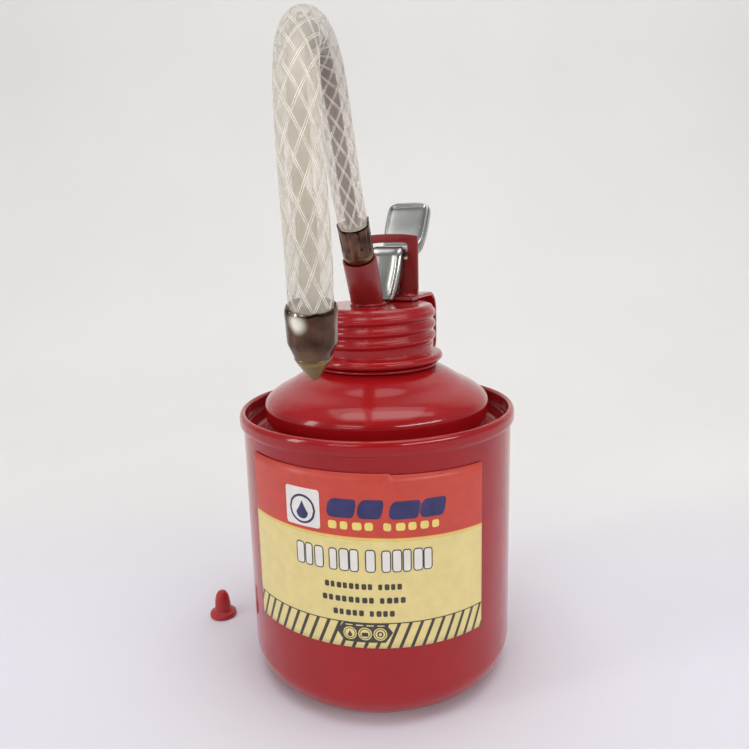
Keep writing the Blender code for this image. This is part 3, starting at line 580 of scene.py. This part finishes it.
def cap():
    def wobble(turn, r, z):
        return r + 0.95 * thread_ridge(turn, z) if 19.6 < r < 20.2 and 112 < z < 127.2 else r

    top = [(0, 127.75), (12, 127.78), (17.2, 127.8)]
    edge = smooth_outline([(17.9, 127.8), (18.7, 127.72), (19.4, 127.4), (19.75, 126.9)], 3)
    rows = 96
    side = [(19.8, 126.8 - (126.8 - 112.4) * i / rows) for i in range(rows + 1)]
    bead = smooth_outline([(20.15, 112.0), (21.2, 111.85), (22.5, 111.5), (23.02, 110.6),
                           (22.85, 109.6), (22.0, 109.05), (20.6, 108.9), (19.7, 109.3)], 5)
    bore = [(19.1, 110.2), (19.1, 127.0), (0, 127.0)]
    outline = top + edge + side + bead + bore
    place_piece(lathe("cap_threaded", outline, ENAMEL, 240, closed=False, sharp=55, wobble=wobble),
                "head", "red_enamel", "screw_cap")


# --- arch, handle, spout --------------------------------------------------------------------------

def arch():
    half, top = ARCH_HALF, ARCH_TOP
    crown = [(half - 2 * half * i / 12, top - 0.75 * abs(2 * i / 12 - 1) ** 2.2) for i in range(13)]
    outline = [(-half, 131.6), (half, 131.6)] + crown
    sizes = [0, 0] + [3.0] + [0] * 11 + [3.0]
    outline = rounded(outline, sizes, 6)
    window = rounded([(-7, 142.2), (7, 142.2), (7, 147.75), (3, 148.0), (-3, 148.0), (-7, 147.75)],
                     [0.5, 0.5, 1.0, 0, 0, 1.0], 4)
    # The arch plates take the darker enamel copy, painted shade.
    upright = plate("upright", [outline, window], ARCH_FRONT, ARCH_BACK, ENAMEL_SHADED,
                    lambda u, v, w: (u, w, v), 0.3)
    bend = [(8.4, 128.1)] + arc(13.85, 129.9, 1.8, -90, 0, 8) + [(15.65, 133.1), (14.35, 133.1)]
    bend += arc(13.25, 130.4, 1.1, 0, -90, 6) + [(8.4, 129.3)]
    bend = rounded(bend, [0.35] + [0] * 11 + [0] * 7 + [0.35], 3)
    spread = []
    for i in range(13):
        x = half * (2 * i / 12 - 1)
        grow = 1.0 if abs(x) < half - 0.2 else 0.9
        spread.append([(x, 12 + (y - 12) * grow, 129.5 + (z - 129.5) * grow) for y, z in bend])
    foot = loft("foot", spread, ENAMEL_SHADED)
    ears = []
    for side in (-1, 1):
        ear = [(15.2, 141.9)] + arc(PIVOT_Y, PIVOT_Z, 2.3, -90, 90, 14) + [(15.2, 146.5)]
        low, high = sorted((side * EAR_INNER, side * EAR_OUTER))
        ears.append(plate("ear", [ear], low, high, ENAMEL_SHADED, lambda u, v, w: (w, u, v), 0.25))
    place_piece(join("arch_formed", [upright, foot] + ears), "head", "red_enamel", "arch_bracket")

    for name, x in (("left", -8.7), ("right", 8.7)):
        head = [(0, 126.0), (1.5, 126.0), (1.5, 126.7), (1.0, 126.7), (1.0, 129.55), (1.85, 129.6)]
        head += arc(0, 129.55, 1.85, 8, 90, 8)[:-1]
        head = [(r, 129.6 + (z - 129.6) * 0.55 if z > 129.6 else z) for r, z in head] + [(0, 130.55)]
        rivet = lathe(f"rivet_{name}", head, ENAMEL, 40, Matrix.Translation((x, 11.6, 0)),
                      closed=False)
        place_piece(rivet, "head", "red_enamel", f"bracket_rivet_{name}")

    shaft = [(0, -9.7), (1.1, -9.7), (1.35, -9.4), (1.3, -8.95), (1.0, -8.9),
             (1.0, 8.9), (1.3, 8.95), (1.35, 9.4), (1.1, 9.7), (0, 9.7)]
    shaft = rounded(shaft, [0, .2, .2, .1, 0, 0, .1, .2, .2, 0], 3)
    spin = Matrix.Translation((0, PIVOT_Y, PIVOT_Z)) @ Matrix.Rotation(math.pi / 2, 4, "Y")
    place_piece(lathe("pivot_pin_peened", shaft, STEEL, 40, spin, closed=False), "head", "steel",
                "lever_pin")


def strap_section(half, depth):
    """Rounded rectangle, (across, inward)."""
    corners = [(-half, 0), (half, 0), (half, depth), (-half, depth)]
    return rounded(corners, min(0.5, depth * 0.45), 3)


def sweep_yz(name, path, widths, depth, mat):
    """Strip bent in the YZ plane; path is its outer face, (y, z), with a half width at each point."""
    rings, points = [], [Vector(p) for p in path]
    for i, point in enumerate(points):
        along = (points[min(i + 1, len(points) - 1)] - points[max(i - 1, 0)]).normalized()
        inward = Vector((along.y, -along.x))
        rings.append([(x, point.x + inward.x * d, point.y + inward.y * d)
                      for x, d in strap_section(widths[i], depth)])
    return loft(name, rings, mat)


def handle():
    top = PLATE_Z + HANDLE_SHEET
    path = [(16.1, top), (20, top), (24, top), (29.4, top)] + arc(30.1, top - 7.3, 7.3, 88, 0, 14)
    path += smooth_outline([(37.4, 118.5), (37.35, 112.5), (36.6, 108.3), (34.7, 105.6),
                            (31.7, 104.7)], 6)
    widths = [HANDLE_HALF] * (len(path) - 2) + [9.5, 8.6]
    strap = sweep_yz("strap", path, widths, HANDLE_SHEET, ENAMEL)
    rng, rings = random.Random(4), []
    for i in range(40):
        x = -9.4 + 18.8 * i / 39
        swell = 0.42 + 0.10 * math.sin(i * 2.1) + 0.05 * rng.random()
        rings.append([(x, 16.05 + math.cos(a) * swell * 0.8, PLATE_Z + 1.3 + math.sin(a) * swell)
                      for a in (TAU * k / 10 for k in range(10))])
    weld = loft("weld", rings, ENAMEL)
    place_piece(join("handle_formed", [strap, weld]), "head", "red_enamel", "handle_strap")


def spout():
    tube = rounded([(4.75, SPOUT_LENGTH), (SPOUT_R, SPOUT_LENGTH), (SPOUT_R, -5), (3.3, -5),
                    (3.3, 14.7), (4.75, 14.7)], [0.25, 0.4, 0, 0, 0, 0], 5)
    line = spout_line()
    rings, fillet, segments = [], [], 72
    down = line.to_3x3() @ Vector((0, 0, -1))

    def on_plate(r, turn):
        """Where a line along the tube's wall meets the cap's top."""
        spot = line @ Vector((r * math.cos(turn), r * math.sin(turn), 0))
        return spot + down * ((spot.z - PLATE_Z) / -down.z)

    for r, t in tube:
        ring = []
        for k in range(segments):
            turn = TAU * k / segments
            spot = line @ Vector((r * math.cos(turn), r * math.sin(turn), t))
            ring.append(on_plate(r, turn) if spot.z < PLATE_Z else spot)
        rings.append(ring)
    # The socket takes the darker enamel copy, painted shade.
    socket = loft("socket", rings, ENAMEL_SHADED, loop=True, sharp=50)
    for k in range(segments):
        turn = TAU * k / segments
        spot = on_plate(SPOUT_R, turn)
        out = Vector((spot.x - SPOUT_FOOT[0], spot.y - SPOUT_FOOT[1], 0)).normalized()
        size = 0.62 + 0.14 * math.sin(5 * turn) + 0.08 * math.sin(11 * turn + 1)
        centre = Vector((spot.x, spot.y, PLATE_Z + 0.02))
        fillet.append([centre + out * size * math.cos(a) + Vector((0, 0, size * 0.8 * math.sin(a)))
                       for a in (math.radians(d) for d in (-20, 10, 35, 60, 90, 130, 180))])
    weld = loft("fillet", fillet, ENAMEL, loop=True, sharp=70)
    place_piece(join("spout_formed", [socket, weld]), "head", "red_enamel", "spout_socket")


# --- lever ----------------------------------------------------------------------------------------

def lever_line():
    """Stations: (outer face, flange edge, half width, lip depth), points as (y, z)."""
    stations = [((5.75, 128.6), (7.7, 128.7), 3.7, 0), ((5.9, 128.95), (7.9, 129.1), 4.2, 0.02),
                ((6.2, 129.6), (8.2, 129.85), 4.5, 0.08), ((6.4, 130.2), (12.5, 130.3), 4.65, 0.15),
                ((6.65, 131.0), (13.5, 131.2), 4.85, 0.25), ((6.95, 132.0), (13.9, 132.4), 5.05, 0.35),
                ((7.3, 133.2), (13.9, 133.4), 5.25, 0.43)]
    for i in range(1, 7):
        t = i / 7
        stations.append(((7.3 + 2.6 * t, 133.2 + 9.2 * t), (13.9, 133.4 + 8.0 * t),
                         5.25 + (LEVER_HALF - 5.25) * math.sin(t * math.pi / 2), 0.48))
    bend = arc(14.9, 141.8, 5.0, 165, 90, 10)
    stations += [(p, (13.9 + 0.4 * i / 10, 141.8 + 0.8 * i / 10), LEVER_HALF, 0.45 * (1 - i / 10))
                 for i, p in enumerate(bend)]
    stations += [((y, 146.8), (y - 0.3, 142.25), LEVER_HALF, 0) for y in (16.2, 17.6, 19, 20.6)]
    stations += [((22.2, 146.8), (22.4, 142.6), LEVER_HALF + 0.2, 0)]
    rise = arc(23.84, 152.8, 6.0, -90, -30, 10)
    edge = smooth_line([(24.8, 143.0), (26.8, 143.4), (28.7, 144.4), (30.4, 146.0), (31.7, 148.1)], 3)
    for i, p in enumerate(rise):
        e = edge[round(i * (len(edge) - 1) / 10)]
        stations.append((p, tuple(e), LEVER_HALF + 0.4 + 1.4 * i / 10, 0.05 * i))
    along, end = Vector((0.5, math.sqrt(0.75))), Vector((36.4, 162.5))
    under = Vector((along.y, -along.x)) * 3.0
    for back, width, lip in ((12.6, 8.1, 0.55), (11, 8.3, 0.6), (8, 8.3, 0.6), (5, 8.3, 0.6),
                             (3.0, 8.25, 0.6), (1.9, 8.0, 0.55), (1.2, 7.6, 0.0), (0.6, 6.9, -0.1),
                             (0.2, 6.1, -0.05), (0, 5.4, 0.1)):
        spot = end - along * back
        stations.append((tuple(spot), tuple(spot + under * (1 - 0.25 * (back < 1))), width, lip))
    return stations


def lever_ring(face, edge, half, lip, inward):
    """Channel section with rounded shoulders; lip sinks the thumb face inside its border."""
    def at(x, depth):
        spot = face + inward * depth
        return (x, spot.x, spot.y)

    pad = min(1.0, max(0.0, (half - 6.3) / 1.5))
    size = min(1.0, half / 5.5)
    leg_edge = ((0, 1.6), (0.12, 0.95), (0.45, 0.45), (0.95, 0.13), (1.5, 0),
                (2.2, 0.55 * lip), (3.1, lip))
    pad_edge = ((0, 1.3), (0.05, 0.8), (0.2, 0.35), (0.5, 0.08), (1.0, 0),
                (1.55, 0.75 * lip), (2.1, lip))
    right = [(half - size * (a + (c - a) * pad), b + (d - b) * pad)
             for (a, b), (c, d) in zip(leg_edge, pad_edge)]
    right += [(half * 0.3, lip * 1.15), (0, lip * 1.2)]
    outer = [(-x, d) for x, d in right] + [(x, d) for x, d in right[-2::-1]]
    inner_right = [(half - 1.0, 1.9), (half - 1.2, 1.35), (half - 1.7, 1.05 + lip),
                   (half * 0.4, 1.05 + lip * 1.15)]
    inner = inner_right + [(-x, d) for x, d in inner_right[::-1]]
    near = edge + (face - edge).normalized() * 0.12
    ring = [(-half, near.x, near.y)] + [at(x, d) for x, d in outer] + [(half, near.x, near.y)]
    ring += [(half - 0.15, edge.x, edge.y), (half - 0.85, edge.x, edge.y), (half - 1.0, near.x, near.y)]
    ring += [at(x, d) for x, d in inner]
    ring += [(1.0 - half, near.x, near.y), (0.85 - half, edge.x, edge.y), (0.15 - half, edge.x, edge.y)]
    return ring


def lever():
    stations = [(Vector(a), Vector(b), h, lip) for a, b, h, lip in lever_line()]
    rings = []
    for i, (face, edge, half, lip) in enumerate(stations):
        before, after = stations[max(i - 1, 0)][0], stations[min(i + 1, len(stations) - 1)][0]
        along = (after - before).normalized()
        rings.append(lever_ring(face, edge, half, lip, Vector((along.y, -along.x))))
    obj = loft("lever_pressed", rings, PLATED, sharp=50)
    soften = obj.modifiers.new("soften", "SUBSURF")
    soften.levels = soften.render_levels = 1
    slot = [(10.8, 133.0), (13.45, 134.03)]
    heading = math.degrees(math.atan2(slot[1][1] - slot[0][1], slot[1][0] - slot[0][0]))
    nose = arc(10.8, 133.0, 1.25, heading + 90, heading + 270, 12)
    ahead = Vector((math.cos(math.radians(heading)), math.sin(math.radians(heading))))
    aside = Vector((-ahead.y, ahead.x)) * 1.25
    far = Vector(slot[0]) + ahead * 9
    outline = nose + [tuple(far - aside), tuple(far + aside)]
    cutter = loft("slot_cutter", [[(x, y, z) for y, z in outline] for x in (-12, 12)], STEEL)
    cut = obj.modifiers.new("slot", "BOOLEAN")
    cut.solver, cut.object = "EXACT", cutter
    apply_modifiers(obj)
    bpy.data.objects.remove(cutter, do_unlink=True)
    place_piece(obj, "lever", "plated_steel", "lever")


# --- label ----------------------------------------------------------------------------------------

LABEL_LEFT, LABEL_WIDE, LABEL_LOW, LABEL_TALL = -34.5, 81.2, 28.4, 55.6
LABEL_R, LABEL_SLOPE, FOLD_U = 46.38, -0.022, 48.6


def on_label(u, v, lift=0.0):
    """Point on the label: u and v in mm from its lower left corner."""
    turn = math.radians(LABEL_LEFT) + u / 46.3
    fade = min(1.0, max(0.0, (v - 33.0) / 6.0))
    fold = FOLD_U + (v - 36) * 0.06
    radius = LABEL_R + lift + 0.22 * fade * math.exp(-((u - fold) / 0.45) ** 2)
    step = 0.5 * fade / (1 + math.exp(-(u - fold) / 0.12)) * (v / LABEL_TALL) ** 3
    z = LABEL_LOW + v - step + (u - LABEL_WIDE / 2) * LABEL_SLOPE
    return (radius * math.sin(turn), -radius * math.cos(turn), z)


def boundary(u):
    """Height of the edge between the red and the yellow field."""
    return 36.1 - 0.0165 * u


def printed(u0, u1, low, high, mat, lift=0.05, rows=2, step=0.7, lean=0.0):
    """Printed patch between two height functions of u, sheared by lean."""
    columns = max(3, round((u1 - u0) / step))
    verts, faces = [], []
    for i in range(columns + 1):
        u = u0 + (u1 - u0) * i / columns
        a, b = low(u), high(u)
        heights = [a + (b - a) * j / rows for j in range(rows + 1)]
        verts += [on_label(u + lean * (v - heights[0]), v, lift) for v in heights]
    for i in range(columns):
        for j in range(rows):
            k = i * (rows + 1) + j
            faces.append((k, k + rows + 1, k + rows + 2, k + 1))
    return make("print", verts, faces, mat)


def bar(u0, u1, v0, v1, mat, lift, corner=0.6, lean=0.0):
    """Rounded bar, the stand-in for a word."""
    def half(u):
        inset = max(0.0, corner - min(u - u0, u1 - u))
        return corner - math.sqrt(max(0.0, corner ** 2 - inset ** 2))
    return printed(u0, u1, lambda u: v0 + half(u), lambda u: v1 - half(u), mat, lift,
                   4, min(0.5, corner / 3), lean)


def disc(u, v, radius, mat, lift):
    def half(x):
        return math.sqrt(max(0.0, radius ** 2 - (x - u) ** 2))
    return printed(u - radius, u + radius, lambda x: v - half(x), lambda x: v + half(x), mat, lift,
                   step=radius / 9)


def drop(u, v, size, mat, lift):
    """Plain oil drop."""
    def top(x):
        near = min(1.0, abs(x - u) / size)
        return v + size * (1.75 * (1 - near) ** 1.25)
    return printed(u - size, u + size, lambda x: v - math.sqrt(max(0.0, size ** 2 - (x - u) ** 2)),
                   top, mat, lift, step=size / 9)


def sheet_base():
    """Label sheet: red and yellow fields with a thin double line between them."""
    wide = [LABEL_WIDE * i / 160 for i in range(161)]
    by_fold = (-0.9, -0.6, -0.4, -0.25, -0.1, 0.1, 0.25, 0.4, 0.6, 0.9, 1.2)
    wide = sorted(wide + [FOLD_U + d for d in by_fold])
    verts, faces, index = [], [], []
    for u in wide:
        edge = boundary(u)
        rows = [0, 2, 4, 6, 8.2, 14, 20, 26, edge - 2.5, edge - 0.55, edge - 0.28, edge, edge + 0.45]
        rows += [edge + (LABEL_TALL - edge) * t for t in (0.12, 0.25, 0.4, 0.55, 0.7, 0.85, 1.0)]
        verts += [on_label(u, v) for v in rows]
    n = len(rows)
    kinds = [0] * 9 + [2, 0, 2] + [1] * 7
    for i in range(len(wide) - 1):
        for j in range(n - 1):
            faces.append((i * n + j, (i + 1) * n + j, (i + 1) * n + j + 1, i * n + j + 1))
            index.append(kinds[j])
    base = make("sheet", verts, faces, [PAPER_YELLOW, PAPER_RED, INK_GOLD], indices=index)
    thin = base.modifiers.new("paper", "SOLIDIFY")
    thin.thickness, thin.offset = 0.00006, 1
    return base


def stripes():
    """Slanted warning stripes and their top line."""
    shift, band, pieces = 3.4, 8.2, []
    for i in range(-1, 23):
        left = 3.6 * i + 0.9
        verts = []
        for v in (0, 2, 4, 6, band):
            lean = left + shift * v / band
            ends = [min(LABEL_WIDE, max(0.0, u)) for u in (lean, lean + 0.55, lean + 1.1)]
            if ends[-1] - ends[0] > 0.02:
                verts.append([on_label(u, v, 0.07) for u in ends])
        if len(verts) > 1:
            pieces.append(loft("stripe", verts, INK_DARK, wrap=False, ends=None))
    pieces.append(printed(0, LABEL_WIDE, lambda u: 8.1, lambda u: 8.45, INK_DARK, 0.08))
    return pieces


def emblem_panel():
    """Dark six-sided panel with three plain round signs."""
    def low(u):
        return 1.9 + max(0.0, 3.2 * (1 - min(u - 32.6, 49.6 - u) / 2.2))

    def high(u):
        return 8.3 - max(0.0, 3.0 * (1 - min(u - 32.6, 49.6 - u) / 2.2))
    pieces = [printed(32.6, 49.6, low, high, INK_DARK, 0.10, step=0.3)]
    pieces += [bar(u, u + 2.2, 7.35, 7.7, PAPER_YELLOW, 0.13, 0.1) for u in (35.3, 38.5, 41.7, 44.9)]
    for u in (36.6, 41.2, 45.8):
        pieces += [disc(u, 4.75, 2.1, PAPER_YELLOW, 0.13), disc(u, 4.75, 1.75, INK_DARK, 0.15)]
        pieces.append(disc(u, 4.75, 1.5, PAPER_YELLOW, 0.17))
    pieces.append(drop(36.6, 4.35, 0.75, INK_DARK, 0.20))
    pieces.append(bar(40.2, 42.2, 3.9, 5.2, INK_DARK, 0.20, 0.3))
    pieces += [disc(45.8, 4.75, 0.95, INK_DARK, 0.20), disc(45.8, 4.75, 0.5, PAPER_YELLOW, 0.22)]
    return pieces


def words(u0, u1, v0, v1, mat, lift, counts, gap, share=0.72, outline=None, lean=0.0):
    """A line of plain blocks, counts of them in each group, where the lettering was."""
    pieces, total = [], sum(counts)
    cell = ((u1 - u0) - gap * (len(counts) - 1)) / total
    left, edge = u0, 0.35
    for k, count in enumerate(counts):
        for i in range(count):
            wide = cell * share * (1.0, 0.86, 1.06, 0.94)[(i + k) % 4]
            tall = (v1 - v0) * (1.0, 1.0, 0.97, 1.0)[(i + 2 * k) % 4]
            corner = 0.28 * min(wide, tall)
            if outline:
                pieces.append(bar(left - edge, left + wide + edge, v0 - edge, v0 + tall + edge,
                                  outline, lift - 0.03, corner + edge))
            pieces.append(bar(left, left + wide, v0, v0 + tall, mat, lift, corner, lean))
            left += cell
        left += gap
    return pieces


def label():
    pieces = stripes() + emblem_panel()
    pieces += [bar(15.9, 28.9, 36.7, 49.8, INK_PALE, 0.05, 1.1),
               bar(16.4, 28.4, 37.2, 49.3, INK_WHITE, 0.08, 0.9)]
    pieces += [disc(22.4, 42.6, 4.6, INK_NAVY, 0.11), disc(22.4, 42.6, 3.9, INK_WHITE, 0.14),
               drop(22.4, 41.6, 2.1, INK_NAVY, 0.17)]
    pieces += words(30.6, 67.6, 41.7, 47.6, INK_NAVY, 0.10, [4], 0, 0.92, lean=0.18)
    pieces += words(31.0, 65.8, 38.1, 40.6, INK_PALE, 0.10, [4, 5], 1.8)
    pieces += words(20.0, 62.8, 25.2, 31.8, INK_WHITE, 0.14, [3, 3, 1, 5], 1.6, 0.74, INK_DARK)
    for u0, u1, v, counts in ((29.2, 53.1, 20.2, [8, 4]), (28.3, 54.2, 15.8, [8, 4]),
                              (31.6, 50.8, 11.5, [5, 4])):
        pieces += words(u0, u1, v - 0.95, v + 0.95, INK_DARK, 0.10, counts, 1.2)
    base = sheet_base()
    apply_modifiers(base)
    obj = join("label_printed", [base] + pieces)
    place_piece(obj, "can", "label", "label")


# --- small pieces and hidden nodes ----------------------------------------------------------------

def rubber_cap():
    outline = [(0, 10.8), (0.9, 10.65), (1.7, 10.1), (2.3, 9.1), (2.7, 7.8), (2.95, 6.2), (3.08, 4.4),
               (3.15, 3.0), (3.4, 2.4), (4.1, 2.05), (4.8, 1.85), (5.15, 1.5), (5.25, 1.0), (5.2, 0.5),
               (5.0, 0.12), (4.6, 0.0), (3.5, 0.0), (2.8, 0.3), (2.3, 1.2), (2.1, 3.0), (2.0, 5.0),
               (1.0, 7.8), (0, 8.2)]
    outline = [(max(0.0, r), max(0.0, z)) for r, z in smooth_outline(outline, 3)]
    obj = lathe("nozzle_cap_moulded", outline, RED_RUBBER, 64, Matrix.Translation(NOZZLE_CAP_SPOT),
                closed=False, sharp=60,
                wobble=lambda turn, r, z: r + 0.05 * math.exp(-(math.sin(turn) / 0.06) ** 2))
    place_piece(obj, "nozzle_cap", "red_rubber", "nozzle_cap")


def spring():
    """Return spring round the rod, at one fixed length, though the real one shortens as the plunger
    rises.
    """
    turns, coil, wire, low, high = 7, 2.9, 0.5, 90.5, 118.4
    count = turns * 24
    path = [Vector((coil * math.cos(TAU * i / 24), PUMP_Y + coil * math.sin(TAU * i / 24),
                    low + (high - low) * i / count)) for i in range(count + 1)]
    frames = transported(path)
    obj = loft("return_spring_coil", [ring_at(f, wire, 10) for f in frames], STEEL, sharp=60)
    place_piece(obj, "head", "steel", "return_spring")
    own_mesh(obj)


def lift_pin():
    """Pin through the rod that the lever's slot lifts."""
    half = 5.1
    outline = rounded([(0, -half), (0.95, -half), (0.95, half), (0, half)], [0, 0.2, 0.2, 0], 3)
    spin = Matrix.Translation((0, PUMP_Y, 133.0)) @ Matrix.Rotation(math.pi / 2, 4, "Y")
    place_piece(lathe("lift_pin_turned", outline, STEEL, 40, spin, closed=False), "plunger", "steel",
                "cross_pin")


def hidden_nodes():
    """Materials for the nodes that no piece replaces."""
    kinds = {BRASS: ("outlet_nipple", "hose_stem", "gland_bush", "pump_block", "pump_barrel",
                     "foot_valve", "suction_tube", "strainer", "piston"),
             STEEL: ("plunger_rod", "piston_nut", "foot_valve_ball", "outlet_valve_ball"),
             RUBBER: ("cap_gasket", "packing_ring", "piston_washer")}
    for mat, names in kinds.items():
        for name in names:
            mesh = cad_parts[name].data
            mesh.materials.clear()
            mesh.materials.append(mat)


# --- floor and light ------------------------------------------------------------------------------

def set_stage():
    paper = surface("pale_backdrop", (0.84, 0.83, 0.81), 0.8, scale=4, spread=0.015, bump=0.02,
                    bump_scale=40)
    spin = Matrix.Rotation(VIEW_TURN, 4, "Z")
    near = spin @ Vector((0, -1, 0))
    # Painted shade: the floor in front of the backdrop wall tinted lilac and a little darker.
    tint(paper, "DOT_PRODUCT", near, -0.20, 0.0, (0.78, 0.765, 0.835))
    # The floor darker still from 0.10 to 0.32 m towards the camera.
    tint(paper, "DOT_PRODUCT", near, 0.10, 0.32, (0.60, 0.585, 0.62))
    profile = [(-1.5, 0), (0.30, 0)] + arc(0.30, 0.35, 0.35, -90, 0, 24) + [(0.65, 2.2)]
    rings = [[tuple(spin @ Vector((x, y, z)) * 1000) for y, z in profile] for x in (-2.0, 2.0)]
    sweep = loft("backdrop", rings, paper, wrap=False, ends=None, sharp=80)

    world = bpy.data.worlds.new("studio")
    bpy.context.scene.world = world
    world.use_nodes = True
    nodes, links = world.node_tree.nodes, world.node_tree.links
    coords, facing = nodes.new("ShaderNodeTexCoord"), nodes.new("ShaderNodeVectorMath")
    facing.operation = "DOT_PRODUCT"
    facing.inputs[1].default_value = spin @ Vector((0, -0.95, 0.1))
    links.new(coords.outputs["Generated"], facing.inputs[0])
    ramp = nodes.new("ShaderNodeValToRGB")
    ramp.color_ramp.elements[0].position, ramp.color_ramp.elements[1].position = 0.35, 0.92
    ramp.color_ramp.elements[0].color = (0.62, 0.63, 0.66, 1)
    ramp.color_ramp.elements[1].color = (0.12, 0.12, 0.13, 1)
    links.new(facing.outputs["Value"], ramp.inputs["Fac"])
    links.new(ramp.outputs["Color"], nodes["Background"].inputs["Color"])
    nodes["Background"].inputs["Strength"].default_value = 0.55
    pale, path, pick = (nodes.new("ShaderNode" + kind)
                        for kind in ("Background", "LightPath", "MixShader"))
    pale.inputs["Color"].default_value = (0.74, 0.73, 0.74, 1)
    links.new(path.outputs["Is Camera Ray"], pick.inputs["Fac"])
    links.new(nodes["Background"].outputs["Background"], pick.inputs[1])
    links.new(pale.outputs["Background"], pick.inputs[2])
    links.new(pick.outputs["Shader"], nodes["World Output"].inputs["Surface"])

    def lamp(name, spot, target, size, power, color=(1, 1, 1)):
        data = bpy.data.lights.new(name, "AREA")
        data.shape, data.size, data.size_y = "RECTANGLE", size[0], size[1]
        data.energy, data.color = power, color
        obj = bpy.data.objects.new(name, data)
        obj.location = spin @ Vector(spot)
        aim = (spin @ Vector(target)) - obj.location
        obj.rotation_euler = aim.to_track_quat("-Z", "Y").to_euler()
        bpy.context.scene.collection.objects.link(obj)

    lamp("window_left", (-1.05, -0.42, 0.42), (0, 0, 0.09), (0.22, 0.6), 2.8, (1.0, 0.99, 0.96))
    lamp("window_right", (0.72, -0.80, 0.52), (0, 0, 0.09), (0.95, 0.11), 4.4, (1.0, 0.97, 0.95))
    lamp("slat_high", (-0.50, -0.95, 0.66), (0, 0, 0.10), (0.5, 0.03), 0.8, (1.0, 0.98, 0.95))
    lamp("slat_low", (-0.52, -0.97, 0.34), (0, 0, 0.10), (0.5, 0.03), 0.8, (1.0, 0.98, 0.95))
    lamp("overhead", (0.0, -0.15, 1.3), (0, 0.0, 0), (1.2, 1.0), 5.0)
    lamp("wall_wash", (0.25, -0.1, 1.5), (0.2, 0.7, 0.5), (1.6, 0.6), 5.4)


photo_camera()
tube, core, braid, line = hose()
sleeve_end, tip = fittings()
hose_length = sum((b - a).length for a, b in zip(line, line[1:])) * MM
can()
cap()
arch()
handle()
spout()
lever()
label()
rubber_cap()
spring()
lift_pin()
hidden_nodes()
set_stage()
bpy.context.scene.view_settings.view_transform = "Standard"
